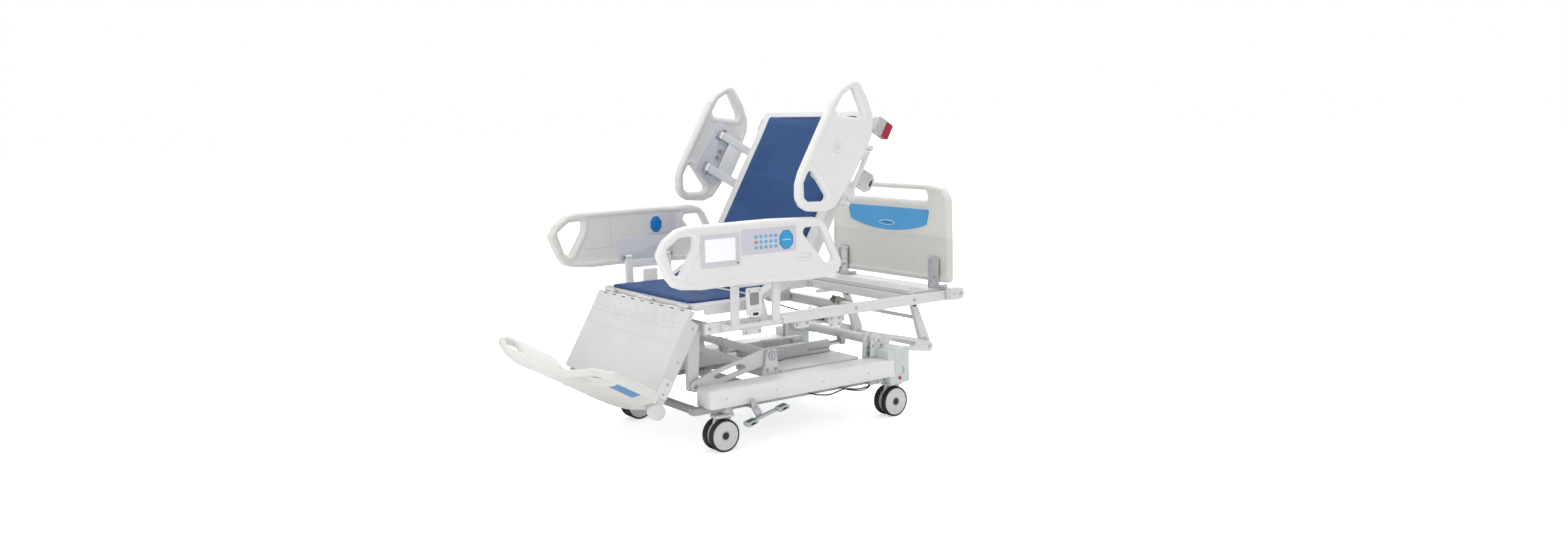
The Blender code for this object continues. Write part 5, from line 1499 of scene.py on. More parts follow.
# head corner bumpers: a soft block and a free roller
BUMPER_BLOCK = rounded([(0.8865, 0.550), (0.911, 0.557), (0.911, 0.605), (0.8865, 0.612),
                        (0.826, 0.612), (0.826, 0.550)], 0.010, 5)
BUMPER_ROLLER = [(0, 0.010), (0, 0.024), (0.002, 0.0275), (0.006, 0.029), (0.030, 0.029),
                 (0.035, 0.0275), (0.0375, 0.024), (0.038, 0.017), (0.035, 0.015),
                 (0.035, 0.010)]
x, z = 0.885, 0.581    # roller axis
for tag, side in SIDES:
    out = (0, side, 0)
    add(f"head_corner_{tag}", BUMPER, "upper_frame",
        [plate(BUMPER_BLOCK, span(side, 0.4412, 0.4845), 0.005, 4)],
        replaces=f"head_bumper_{tag}")
    add(f"head_roller_{tag}", BUMPER, "upper_frame",
        [lathe(BUMPER_ROLLER, (x, side * 0.452, z), out, 44)])
    add(f"head_roller_bolt_{tag}", ZINC, "upper_frame", [
        cross_rod(x, z, (side * 0.4845, side * 0.4865), 0.0145, segments=28),
        hexagon((x, side * 0.4862, z), out, 0.0075, 0.0038),
        cap_screw((0.842, side * 0.4843, z), out, 0.0055, 0.0020),
    ])

# ------------------------------------------------------------------ deck sections
# y ranges of the hinge knuckles: the two sets interleave
THREE_KNUCKLES = [(-0.340, -0.300), (-0.020, 0.020), (0.300, 0.340)]
FOUR_KNUCKLES = [(-0.385, -0.342), (-0.064, -0.022), (0.022, 0.064), (0.342, 0.385)]
DECK_START = 0.011                     # gap between a hinge axis and the sheet
ACROSS_NINE = [-0.36 + 0.09 * k for k in range(9)]


def deck(body, frame, end, knuckles, flange, depth, slot_row=None,
         ribs=(-0.29, -0.10, 0.10, 0.29)):
    """Pressed sheet with side flanges down to depth, knuckles at (x, y ranges), a row of slots
    and stiffening ribs underneath."""
    start, half = DECK_START, DECK_HALF_WIDTH
    slots = [] if slot_row is None else [
        rect((slot_row - 0.0022, slot_row + 0.0022), (y - 0.019, y + 0.019), 0.0018, 2)
        for y in ACROSS_NINE]
    shapes = [plate(rect((start, end), (-half, half), 0.006, 3), (-0.0119, 0.0119), 0.0025, 3,
                    "top", slots)]
    lo, hi = flange
    outline = rounded([(lo, -0.010), (lo + 0.004, -depth), (hi - 0.004, -depth), (hi, -0.010)],
                      [0, 0.010, 0.010, 0])
    shapes += [plate(outline, span(side, half - 0.012, half - 0.0006)) for _, side in SIDES]
    for x, ranges in knuckles:
        tongue = (x, start + 0.004) if x <= start else (end - 0.004, x)
        for y0, y1 in ranges:
            shapes += [cross_rod(x, 0, (y0, y1), 0.0089),
                       box(tongue, (y0 + 0.001, y1 - 0.001), (-0.0058, 0.0058), 0.0012)]
    add(f"{body}_deck", DECK_COAT, body, shapes, frame, f"{body}_section")
    add(f"{body}_deck_ribs", COAT, body,
        [box((start + 0.020, end - 0.020), (y - 0.012, y + 0.012), (-0.0185, -0.0112), 0.003)
         for y in ribs], frame)


deck("thigh", THIGH, THIGH_LENGTH - DECK_START,
     [(0.0, THREE_KNUCKLES), (THIGH_LENGTH, FOUR_KNUCKLES)],
     flange=(0.05, THIGH_LENGTH - 0.055), depth=0.036, slot_row=THIGH_LENGTH - 0.0165)
deck("hip", HIP, HIP_LENGTH - DECK_START, [(HIP_LENGTH, THREE_KNUCKLES)],
     flange=(0.05, HIP_LENGTH - 0.04), depth=0.040, ribs=(-0.29, -0.10, 0.29))
deck("back", BACK, BACK_LENGTH, [(0.0, FOUR_KNUCKLES)],
     flange=(0.04, BACK_LENGTH - 0.02), depth=0.040)
deck("calf", CALF, CALF_LENGTH, [(0.0, THREE_KNUCKLES)],
     flange=(0.050, CALF_LENGTH - 0.002), depth=0.060, slot_row=0.020)

# pressed ridges across the calf section, and a row of arcs
shapes = [pipe([(x, y, 0.01145) for y in np.linspace(-0.395, 0.395, 24)], 0.0019, 8)
          for x in (0.105, 0.175)]
shapes += [pipe([(0.088 - 0.010 * math.sin(math.pi * t / 8), y - 0.026 + 0.052 * t / 8, 0.0115)
                 for t in range(9)], 0.0017, 8) for y in ACROSS_NINE]
add("calf_ridges", DECK_COAT, "calf", shapes, CALF)

# sloping channels on the frame's cross member, under the backrest
start, length, along, up = bar_axes((0.292, 0.562), (0.212, 0.6195))
cheek = rounded(on_bar(start, along, up, [(0, -0.028), (length, -0.022), (length, 0.022),
                                          (0, 0.028)]), 0.004, 3)
cheek = [(x, min(z, 0.6215)) for x, z in cheek]
web = on_bar(start, along, up, [(0, -0.004), (length, -0.004), (length, 0.001), (0, 0.001)])
for tag, side in SIDES:
    add(f"backrest_stop_{tag}", OLIVE, "upper_frame", [
        plate(cheek, span(side, 0.2960, 0.2990), 0.0008, 1),
        plate(cheek, span(side, 0.3320, 0.3350), 0.0008, 1),
        plate(web, span(side, 0.2985, 0.3325), 0.0008, 1),
    ])

# hip lever cheeks, hinge pins, backrest lugs
HIP_LEVER = rounded([(0.105, -0.006), (0.020, -0.006), (-0.013, -0.066), (-0.011, -0.082),
                     (0.006, -0.087), (0.018, -0.080)], 0.005)
add("hip_lever", COAT, "hip",
    [plate(HIP_LEVER, sorted((BACK_LIFT_Y + t * 0.0130, BACK_LIFT_Y + t * 0.0210)), 0.0012)
     for t in (-1, 1)], HIP)
add("hip_lever_pin", ZINC, "hip",
    [hexagon((0.0, BACK_LIFT_Y + t * 0.0210, -LEVER_REACH), (0, t, 0), 0.0070, 0.0036)
     for t in (-1, 1)], HIP)
add("knee_pin", ZINC, "thigh",
    [cross_rod(THIGH_LENGTH, 0, ys, 0.0065) for ys in ((-0.3865, -0.3840), (0.3840, 0.3865))],
    THIGH)
shapes = []
for _, side in SIDES:
    lug = rounded([(side * 0.490, -0.052), (side * 0.490, -0.028), (side * 0.4415, -0.028),
                   (side * 0.4415, -0.004), (side * 0.4230, -0.004), (side * 0.4230, -0.052)],
                  0.004, 3)
    shapes += [plate(lug, xs, 0.0012, plane="end") for xs in ((0.300, 0.320), (0.590, 0.610))]
add("back_lugs", COAT, "back", shapes, BACK)
add("back_lug_bolts", ZINC, "back",
    [bolt((x, side * 0.457, -0.040), (out, 0, 0), 0.0042, 0.0028)
     for _, side in SIDES for x, out in ((0.300, -1), (0.610, 1))], BACK)
# three plates under the section
add("back_rear_plates", LIGHT_GREY_COAT, "back", [
    plate(rect((0.478, 0.520), (0.300, 0.395), 0.006), (-0.0240, -0.0185), 0.001, plane="top"),
    plate(rect((0.401, 0.437), (-0.395, -0.300), 0.006), (-0.0240, -0.0185), 0.001, plane="top"),
    plate(rect((0.200, 0.640), (-0.160, 0.160), 0.020), (-0.0225, -0.0185), 0.001, plane="top"),
], BACK)


# ------------------------------------------------------------------ blue covers
def relax(ob, frame):
    """Cloth with light pressure, edges held, movement kept to a few millimetres."""
    last_frame, most_movement = 20, 0.0022
    mesh = ob.data
    count = len(mesh.vertices)
    rest = np.empty(count * 3)
    mesh.vertices.foreach_get("co", rest)
    rest = rest.reshape(-1, 3)
    height = (rest - frame.origin) @ frame.normal
    held = ob.vertex_groups.new(name="held")
    held.add([int(i) for i in np.where(height < 0.0150)[0]], 1.0, "REPLACE")
    cloth = ob.modifiers.new("cloth", "CLOTH")
    settings = cloth.settings
    settings.quality = 6
    settings.mass = 0.25
    settings.tension_stiffness = settings.compression_stiffness = 14
    settings.shear_stiffness = 6
    settings.bending_stiffness = 0.35
    settings.use_pressure = True
    settings.uniform_pressure_force = 0.55
    settings.vertex_group_mass = "held"
    settings.effector_weights.gravity = 0.0
    cloth.collision_settings.use_collision = False
    cloth.collision_settings.use_self_collision = False
    cloth.point_cache.frame_start = 1
    cloth.point_cache.frame_end = last_frame
    for number in range(1, last_frame + 1):
        scene.frame_set(number)
    evaluated = ob.evaluated_get(bpy.context.evaluated_depsgraph_get())
    relaxed = np.empty(count * 3)
    evaluated.data.vertices.foreach_get("co", relaxed)
    relaxed = relaxed.reshape(-1, 3)
    ob.modifiers.remove(cloth)
    scene.frame_set(1)
    move = relaxed - rest
    size = np.linalg.norm(move, axis=1)
    move *= np.where(size > most_movement, most_movement / np.maximum(size, 1e-9), 1.0)[:, None]
    if np.isfinite(move).all():    # an unstable simulation leaves the sheet as modelled
        mesh.vertices.foreach_set("co", (rest + move).ravel())
        mesh.update()


def cover(body, frame, start, end):
    """A padded sheet modelled flat and relaxed as cloth, with piping and a stitch line."""
    lo, hi = 0.0124, 0.0268
    edge, crown = 0.0070, 0.0016
    outline = rect((start, end), (-COVER_HALF_WIDTH, COVER_HALF_WIDTH), 0.018, 6)
    rounding = dome(edge)

    def top(d, p):
        waves = 0.0006 * np.sin(p[:, 1] * 23.0 + p[:, 0] * 9.0) * np.sin(p[:, 0] * 19.0 + 1.3)
        return (hi - edge - crown + rounding(d) + crown * smoothstep(d / 0.060)
                + waves * smoothstep(d / 0.03))

    sheet = moulded(outline, (), top, lambda d, p: np.full(len(d), lo), PLANES["top"],
                    [0.0006, 0.002, 0.0045, 0.0070, 0.011], 0.012, 0.014)
    ob = add(f"{body}_cover", COVER, body, [sheet], frame, f"{body}_pad", angle=60)
    if not QUICK:
        relax(ob, frame)
    path = [(x, y, 0.0148) for x, y in inset(resample(outline, 0.02), 0.0016)]
    add(f"{body}_cover_piping", WELT, body, [pipe(path, 0.0022, 8, closed=True)], frame,
        angle=60)
    row = inset(resample(outline, 0.0085), 0.0135)
    stitches = []
    for p, q in zip(row, np.roll(row, -1, 0)):
        a, b = p + (q - p) * 0.16, p + (q - p) * 0.80
        stitches.append(pipe([(*a, hi - 0.0011), (*((a + b) / 2), hi - 0.0004),
                              (*b, hi - 0.0011)], 0.0006, 5))
    add(f"{body}_cover_stitch", WELT, body, stitches, frame, angle=60)


cover("thigh", THIGH, 0.022, THIGH_LENGTH - 0.020)
cover("hip", HIP, 0.022, HIP_LENGTH - 0.022)
cover("back", BACK, 0.022, BACK_LENGTH - 0.030)

# ------------------------------------------------------------------ footboard
BOARD_BULGE = 0.062                    # how far the middle stands out
BOARD_FLAT, BOARD_BOW = 0.08, 0.462    # half widths of the flat middle and of the whole bow
BOARD_THICK = 0.036
BOARD_HALF = 0.530
BOARD_EDGE = 0.0165


def board_line(y):
    """The bowed inner face: x against y."""
    t = np.clip((np.abs(y) - BOARD_FLAT) / (BOARD_BOW - BOARD_FLAT), 0, 1.3)
    return CALF_LENGTH + 0.0004 + BOARD_BULGE * (1.0 - t * t)


def bowed(y, z, out):
    return np.stack([board_line(y) + out, y, z], 1)


def board_recess(d, p):
    """Panel set back from the rim, with two shallow moulded ribs along it."""
    ribs = sum(0.0022 * np.exp(-((p[:, 1] - z) / 0.008) ** 2) for z in (0.055, 0.235))
    return 0.0032 * smoothstep((d - 0.022) / 0.008) - ribs * smoothstep((d - 0.035) / 0.02)


# (y, z)
BOARD_OUTLINE = rounded([
    (-BOARD_HALF, 0.030), (-0.388, 0.004), (-0.378, -0.0315), (0.378, -0.0315), (0.388, 0.004),
    (BOARD_HALF, 0.030), (BOARD_HALF, 0.290), (BOARD_HALF - 0.060, 0.366), (0.300, 0.3845),
    (-0.300, 0.3845), (-BOARD_HALF + 0.060, 0.366), (-BOARD_HALF, 0.290)], 0.035, 6)
BOARD_GRIPS = [rounded([(t * 0.352, 0.276), (t * 0.494, 0.250), (t * 0.474, 0.332),
                        (t * 0.360, 0.352)], 0.016, 5) for t in (-1, 1)]
edge = dome(BOARD_EDGE)
add("footboard_shell", WARM, "calf", [
    moulded(BOARD_OUTLINE, BOARD_GRIPS,
            lambda d, p: BOARD_THICK - BOARD_EDGE + edge(d) - board_recess(d, p),
            lambda d, p: BOARD_EDGE - edge(d) + board_recess(d, p), bowed,
            [0.0008, 0.003, 0.0065, 0.011, 0.0165, 0.0215, 0.0262, 0.0305], 0.014, 0.017),
], CALF, "footboard", angle=50)
add("footboard_sill", WARM, "calf", [
    box((0.4156, 0.487), (-0.300, 0.300), (-0.0275, -0.0065), 0.004, 3),
    *[box((0.4165, 0.470), (y - 0.006, y + 0.006), (-0.030, -0.004))
      for y in (-0.28, -0.14, 0.0, 0.14, 0.28)],
], CALF)
# light-blue inlays on the outer face
for tag, side in SIDES:
    outline = anticlockwise(rounded([(side * 0.436, 0.106), (side * 0.514, 0.116),
                                     (side * 0.518, 0.238), (side * 0.440, 0.234)], 0.006))
    add(f"footboard_inlay_{tag}", INLAY_FOOT, "calf", [
        moulded(outline, (),
                lambda d, p: BOARD_THICK - 0.0050 + 0.0048 * smoothstep(d / 0.0022 + 0.15),
                lambda d, p: np.full(len(d), BOARD_THICK - 0.012), bowed,
                [0.0005, 0.0012, 0.0025], 0.006, 0.012),
    ], CALF)
add("footboard_screws", ZINC, "calf", [
    *[cap_screw((float(board_line(y)) + BOARD_THICK - 0.0036, y, 0.006), (1, 0, 0), 0.0058,
                0.0020) for y in (-0.25, -0.085, 0.085, 0.25)],
    *[cap_screw((0.445, y, -0.0278), (0, 0, -1), 0.0048, 0.0018)
      for y in (-0.21, -0.07, 0.07, 0.21)],
], CALF)

# bumper wheels at the foot
FOOT_WHEEL = [
    (0, 0.008), (0, 0.030), (0.003, 0.0345), (0.008, 0.036), (0.018, 0.036), (0.0186, 0.0352),
    (0.0200, 0.0352), (0.0206, 0.036), (0.036, 0.036), (0.043, 0.0345), (0.0472, 0.030),
    (0.0488, 0.022), (0.0494, 0.012), (0.0496, 0.0)]
FOOT_WHEEL_ARM = rounded([(0.4135, -0.056), (0.470, -0.050), (0.470, -0.022),
                          (0.4135, -0.020)], 0.006)
for tag, side in SIDES:
    add(f"foot_wheel_{tag}", BUMPER, "calf",
        [lathe(FOOT_WHEEL, (0.470, side * 0.4058, -0.035), (0, side, 0), 44)], CALF,
        f"foot_bumper_{tag}")
    add(f"foot_wheel_arm_{tag}", COAT, "calf", [
        plate(FOOT_WHEEL_ARM, span(side, 0.4172, 0.4302), 0.002),
        cross_rod(0.470, -0.035, (side * 0.4020, side * 0.4100), 0.0130),
        box((0.322, 0.4130), span(side, 0.4262, 0.4345), (-0.054, 0.0045), 0.0040, 3),
    ], CALF)
# gussets from the calf's side flanges to the board
CALF_GUSSET = rounded([(0.330, -0.012), (0.413, -0.012), (0.413, -0.040), (0.345, -0.058),
                       (0.330, -0.058)], 0.005)
add("calf_gussets", COAT, "calf",
    [plate(CALF_GUSSET, span(side, 0.4120, 0.4180), 0.001) for _, side in SIDES], CALF)
FLANGE_BOLTS = ((0.345, 0.4344, -0.030), (0.392, 0.4344, -0.030), (0.080, 0.4294, -0.035),
                (0.240, 0.4294, -0.035))
add("calf_flange_bolts", ZINC, "calf",
    [bolt((x, side * y, z), (0, side, 0), 0.0042, 0.0028)
     for _, side in SIDES for x, y, z in FLANGE_BOLTS], CALF)

# ------------------------------------------------------------------ headboard
HEAD_HALF = 0.470
HEAD_INNER_X, HEAD_OUTER_X = 0.820, 0.860
HEAD_EDGE = 0.0165
HEAD_STEP_Z = 0.862                    # the panel is set back further below this height
# (y, z)
HEAD_OUTLINE = rounded([
    (-HEAD_HALF, 0.6345), (HEAD_HALF, 0.6345), (HEAD_HALF, 0.823), (HEAD_HALF - 0.006, 1.060),
    (HEAD_HALF - 0.045, 1.113), (HEAD_HALF - 0.150, 1.126), (-HEAD_HALF + 0.150, 1.126),
    (-HEAD_HALF + 0.045, 1.113), (-HEAD_HALF + 0.006, 1.060), (-HEAD_HALF, 0.823)], 0.020, 5)
HEAD_SLOT = rounded([(-0.316, 1.043), (0.316, 1.043), (0.300, 1.096), (-0.300, 1.096)], 0.016, 5)
sag = [(-0.336 + 0.672 * t, 0.934 - 0.058 * math.sin(math.pi * t) ** 0.7)
       for t in (i / 24 for i in range(1, 24))]
HEAD_INLAY = rounded([(-0.329, 0.9985), *sag, (0.329, 0.9985)], 0.010, 3)


def head_recess(d, p):
    lower = 0.0030 * smoothstep((HEAD_STEP_Z - p[:, 1]) / 0.007)
    return (0.0030 * smoothstep((d - 0.026) / 0.008)
            + lower * smoothstep((d - 0.022) / 0.008))


head_edge = dome(HEAD_EDGE)
step_rows = [(y, z) for z in (0.8520, 0.8552, 0.8585, 0.8622)
             for y in np.linspace(-0.455, 0.455, 60)]
add("headboard_shell", HEADBOARD_SHADED_BELOW, "headboard", [
    moulded(HEAD_OUTLINE, [HEAD_SLOT],
            lambda d, p: HEAD_OUTER_X - HEAD_EDGE + head_edge(d) - head_recess(d, p),
            lambda d, p: HEAD_INNER_X + HEAD_EDGE - head_edge(d) + head_recess(d, p),
            PLANES["end"],
            [0.0008, 0.003, 0.0065, 0.011, 0.0165, 0.0225, 0.0262, 0.0300, 0.0345],
            0.014, 0.018, step_rows),
], replaces="headboard", angle=50)
add("headboard_inlay_panel", INLAY, "headboard", [
    moulded(HEAD_INLAY, (), lambda d, p: np.full(len(d), 0.8300),
            lambda d, p: (0.8232 - 0.0038 * smoothstep(d / 0.0035 + 0.1)
                          + 0.0007 * smoothstep((d - 0.0075) / 0.002)),
            PLANES["end"], [0.0006, 0.0015, 0.003, 0.0055, 0.0075, 0.0095], 0.010, 0.016),
], replaces="headboard_inlay", angle=60)
# plain raised oval on the inlay
add("headboard_oval", BADGE_PALE, "headboard",
    [plate(ellipse(0, 0.915, 0.062, 0.014, 40), (0.8180, 0.8230), 0.0012, plane="end")])
add("headboard_oval_face", BADGE_DEEP, "headboard",
    [plate(ellipse(0, 0.915, 0.054, 0.0095, 40), (0.8176, 0.8200), 0.0006, plane="end")])

# sockets: folded stainless brackets with screws
BRACKET_CHEEK = rounded([(0.808, 0.6045), (0.8190, 0.6045), (0.8190, 0.758), (0.812, 0.752),
                         (0.808, 0.736)], 0.003, 3)
for tag, side in SIDES:
    ys = span(side, 0.330, 0.404)
    add(f"headboard_bracket_{tag}", STEEL_UPRIGHT, "upper_frame", [
        plate(rect(ys, (0.6045, 0.762), [0.002, 0.002, 0.010, 0.010]), (0.8165, 0.8194),
              0.0007, 1, "end"),
        plate(BRACKET_CHEEK, (ys[0], ys[0] + 0.0026), 0.0006, 1),
        plate(BRACKET_CHEEK, (ys[1] - 0.0026, ys[1]), 0.0006, 1),
        box((0.810, 0.880), span(side, 0.335, 0.400), (0.6042, 0.6197), 0.002),
    ], replaces=f"headboard_socket_{tag}")
    y = side * 0.367
    add(f"headboard_bracket_screws_{tag}", ZINC, "upper_frame", [
        *[cap_screw((0.8166, side * screw_y, z), (-1, 0, 0), 0.0052, 0.0024)
          for screw_y in (0.348, 0.386) for z in (0.745, 0.690, 0.640)],
        rod((0.8090, y, 0.660), (0.8165, y, 0.660), 0.0075),
        hexagon((0.8100, y, 0.660), (-1, 0, 0), 0.0060, 0.0035),
    ])

# ------------------------------------------------------------------ siderails
# outlines and grip holes, (x, z) in the base frame for the foot rails, in the backrest's for
# the head rails
FOOT_RAIL = [
    (-0.883, 0.930), (-0.846, 0.988), (-0.787, 1.028), (-0.734, 1.040), (-0.309, 1.043),
    (-0.067, 1.035), (-0.021, 1.023), (0.008, 0.993), (0.090, 0.826), (0.090, 0.802),
    (0.058, 0.767), (0.003, 0.754), (-0.096, 0.751), (-0.459, 0.764), (-0.665, 0.762),
    (-0.764, 0.772), (-0.809, 0.788), (-0.839, 0.825)]
FOOT_HOLES = [
    [(-0.835, 0.945), (-0.772, 0.991), (-0.696, 0.996), (-0.705, 0.943), (-0.775, 0.827),
     (-0.800, 0.844)],
    [(-0.118, 0.990), (-0.030, 0.990), (0.047, 0.834), (0.005, 0.815), (-0.128, 0.967)]]
HEAD_RAIL = [
    (0.815, 0.208), (0.806, 0.241), (0.738, 0.288), (0.670, 0.305), (0.300, 0.307),
    (0.240, 0.297), (0.183, 0.265), (0.160, 0.230), (0.161, 0.184), (0.205, 0.090),
    (0.250, 0.052), (0.330, 0.036), (0.565, 0.018), (0.640, 0.022), (0.705, 0.048),
    (0.765, 0.115)]
HEAD_HOLES = [
    [(0.773, 0.226), (0.711, 0.261), (0.637, 0.265), (0.619, 0.243), (0.676, 0.110),
     (0.700, 0.122)],
    [(0.340, 0.266), (0.264, 0.266), (0.205, 0.230), (0.201, 0.200), (0.243, 0.123),
     (0.268, 0.118)]]
RAIL_EDGE = 0.0185


def rail(end, tag, side, frame, outline, holes):
    """A blow-moulded siderail: tube-like rim round the grips and a flatter panel between."""
    outline = anticlockwise(rounded(outline, 0.030, 5))
    holes = [anticlockwise(rounded(h, 0.017, 5)) for h in holes]
    edge = dome(RAIL_EDGE)

    def outer(d):
        return (RAIL_EDGE - edge(d) + 0.0034 * smoothstep((d - 0.0245) / 0.0085)
                - 0.0020 * smoothstep((d - 0.040) / 0.010))

    def inner(d):
        return RAIL_EDGE - edge(d) + 0.0040 * smoothstep((d - 0.0230) / 0.0085)

    if side < 0:
        top = lambda d, p: -RAIL_INNER_Y - inner(d)
        bottom = lambda d, p: -RAIL_OUTER_Y + outer(d)
    else:
        top = lambda d, p: RAIL_OUTER_Y - outer(d)
        bottom = lambda d, p: RAIL_INNER_Y + inner(d)
    shell = moulded(outline, holes, top, bottom, PLANES["side"],
                    [0.0007, 0.0028, 0.0062, 0.0110, 0.0165, 0.0215, 0.0255, 0.0292, 0.0330],
                    0.011, 0.015)
    body = f"{end}_rail_{tag}"
    # the far rail takes the darker warm white: painted shade on the side away from the camera
    add(f"{end}_rail_shell_{tag}", WHITE if side < 0 else WARM, body, [shell], frame, body,
        angle=55)


def rail_arms(end, tag, side, frame, arms, lugs, low, high, tie):
    """Two links between a low shaft and the rail's lugs. arms and lugs are x ranges, low and
    high the heights of the two axes, tie the z range of the bar between the links."""
    body = f"{end}_rail_arms_{tag}"
    shapes = [cross_shaft(arms[0][0] - 0.012, arms[1][1] + 0.012, side * 0.475, low, 0.0114)]
    link = rounded([(side * 0.466, low - 0.004), (side * 0.484, low - 0.004),
                    (side * 0.494, high), (side * 0.476, high)], 0.0045, 3)
    for x0, x1 in arms:
        shapes += [plate(link, (x0, x1), 0.0035, 3, "end"),
                   cross_shaft(x0 + 0.001, x1 - 0.001, side * 0.485, high, 0.0109)]
    shapes.append(box((arms[0][0] + 0.01, arms[1][1] - 0.01), span(side, 0.4750, 0.4843), tie,
                      0.003))
    add(f"{body}_links", COAT, body, shapes, frame, body, slot="stainless")
    bolts = []
    for x0, x1 in arms:
        bolts += [bolt(((x0 + x1) / 2, side * 0.4838, (tie[0] * 2 + tie[1]) / 3), (0, side, 0),
                       0.0050, 0.0030),
                  hexagon((x0 + 0.0008, side * 0.485, high), (-1, 0, 0), 0.0062, 0.0012),
                  hexagon((x1 - 0.0008, side * 0.485, high), (1, 0, 0), 0.0062, 0.0012)]
    add(f"{body}_bolts", ZINC, body, bolts, frame)
    shapes = []
    for x0, x1 in lugs:
        middle = (x0 + x1) / 2
        shapes += [box((x0, x1), span(side, 0.4755, 0.5060), (high - 0.0098, high + 0.0098)),
                   box((middle - 0.012, middle + 0.012), span(side, 0.4985, 0.5045),
                       (high - 0.016, high + 0.022), 0.002)]
    add(f"{end}_rail_lugs_{tag}", ZINC, f"{end}_rail_{tag}", shapes, frame)


def cross_shaft(x0, x1, y, z, radius):
    """A shaft that lies along x."""
    return rod((x0, y, z), (x1, y, z), radius, segments=28)


def latch(end, tag, side, frame, xs, zs, ys):
    """A plate with a raised foot and a dark grip; the foot rails' have a pocket as well."""
    (x0, x1), (z0, z1), (y0, y1) = xs, zs, ys
    body = f"{end}_rail_latch_{tag}"
    add(f"{body}_plate", WHITE if end == "foot" else STEEL, body, [
        plate(rect(xs, zs, 0.010), span(side, y0, y1), 0.003, 3),
        plate(rect((x0 + 0.012, x1 - 0.012), (z0 - 0.008, z0 + 0.022), 0.008),
              span(side, y0 + 0.004, y1 + 0.0058), 0.003, 3),
    ], frame, body, slot="pale_green")
    middle = (x0 + x1) / 2
    add(f"{body}_grip", DARK, body, [
        plate(rect((middle - 0.016, middle + 0.016), (z0 - 0.001, z0 + 0.013), 0.005),
              span(side, y1 + 0.0040, y1 + 0.0066), 0.001, 1)], frame)
    if end == "foot":
        def pocket(grow, radius):
            return rect((middle - 0.024 - grow, middle + 0.020 + grow),
                        (z0 + 0.048 - grow, z0 + 0.100 + grow), radius)
        add(f"{body}_pocket", MID_GREY_COAT, body, [
            plate(pocket(0, 0.005), span(side, y1 - 0.0010, y1 + 0.0008), 0.0006, 1),
            plate(pocket(0.002, 0.006), span(side, y1 - 0.0010, y1 + 0.0014), 0.0005, 1,
                  holes=[pocket(-0.0015, 0.005)]),
        ], frame)
    add(f"{body}_pins", ZINC, body,
        [cap_screw((x, side * y1, z1 - 0.014), (0, side, 0), 0.0050, 0.0020)
         for x in (x0 + 0.012, x1 - 0.012)], frame)


FOOT_MOUNT = rounded([(-0.512, 0.770), (-0.200, 0.770), (-0.200, 0.893), (-0.512, 0.900)],
                     0.006, 3)
FOOT_BADGE_PANEL = rounded([(-0.336, 0.905), (-0.165, 0.905), (-0.190, 1.002),
                            (-0.336, 1.002)], 0.008, 3)
FOOT_BADGE = rounded(octagon(-0.292, 0.952, 0.0335 * 1.05, 0.0410 * 1.05), 0.0035, 3)
HEAD_MOUNT = rounded([(0.300, 0.080), (0.600, 0.062), (0.620, 0.215), (0.320, 0.228)], 0.010, 3)


def rail_inner_faces(tag, side):
    """Mounting plates, badge, seams and brackets on the sides facing the bed."""
    foot, head = f"foot_rail_{tag}", f"head_rail_{tag}"
    add(f"foot_rail_plate_{tag}", PANEL_GREY, foot,
        [plate(FOOT_MOUNT, span(side, 0.4972, 0.5065), 0.0012)])
    add(f"foot_rail_badge_panel_{tag}", PANEL_GREY, foot,
        [plate(FOOT_BADGE_PANEL, span(side, 0.5010, 0.5065), 0.0012)])
    add(f"foot_rail_badge_{tag}", BADGE_DEEP, foot,
        [plate(FOOT_BADGE, span(side, 0.4995, 0.5030), 0.0008)])
    seam_ys = span(side, 0.5034, 0.5046)
    add(f"foot_rail_seams_{tag}", BOX_GREY, foot, [
        box((-0.5495, -0.5480), seam_ys, (0.862, 1.018), 0.0004, 1),
        box((-0.700, -0.5135), seam_ys, (0.8555, 0.8575), 0.0004, 1),
    ], slot="white_plastic")
    add(f"head_rail_plate_{tag}", PANEL_GREY, head,
        [plate(HEAD_MOUNT, span(side, 0.4972, 0.5065), 0.0012)], BACK)
    shapes = []
    for x in (0.362, 0.550):
        shapes.append(box((x - 0.026, x + 0.026), span(side, 0.4945, 0.4980), (0.150, 0.196),
                          0.002))
        shapes += [cap_screw((x + dx, side * 0.4946, 0.188), (0, -side, 0), 0.0038, 0.0020)
                   for dx in (-0.016, 0.016)]
    shapes += [box((x, x + 0.018), span(side, 0.4880, 0.4980), (0.118, 0.150), 0.003)
               for x in (0.428, 0.466)]
    add(f"head_rail_brackets_{tag}", STEEL, head, shapes, BACK)


for tag, side in SIDES:
    rail("foot", tag, side, BASE, FOOT_RAIL, FOOT_HOLES)
    rail("head", tag, side, BACK, HEAD_RAIL, HEAD_HOLES)
    rail_arms("foot", tag, side, BASE, arms=((-0.486, -0.446), (-0.264, -0.224)),
              lugs=((-0.498, -0.488), (-0.222, -0.212)), low=0.570, high=0.800,
              tie=(0.745, 0.785))
    rail_arms("head", tag, side, BACK, arms=((0.340, 0.385), (0.530, 0.570)),
              lugs=((0.326, 0.338), (0.572, 0.584)), low=-0.040, high=0.165,
              tie=(0.020, 0.110))
    latch("foot", tag, side, BASE, (-0.395, -0.315), (0.612, 0.735), (0.4590, 0.4735))
    latch("head", tag, side, BACK, (0.410, 0.500), (-0.128, -0.056), (0.4470, 0.4740))
    rail_inner_faces(tag, side)


def rail_mark(end, tag, side, frame, x, z, outer, inner, centre, centre_y):
    """A raised ring round a raised centre on a rail's outer face; sizes are (rx, rz)."""
    # painted shade: the near mark is darker than its white rail, and the far mark takes the far rail's darker warm
    # white
    add(f"{end}_rail_mark_{tag}", SHADE_WHITE if side < 0 else WARM, f"{end}_rail_{tag}", [
        plate(ellipse(x, z, *outer, 36), span(side, 0.5425, 0.5446), 0.0005, 1,
              holes=[ellipse(x, z, *inner, 36)]),
        plate(ellipse(x, z, *centre, 36), span(side, 0.5425, centre_y), 0.0005, 1),
    ], frame, slot="white_plastic")


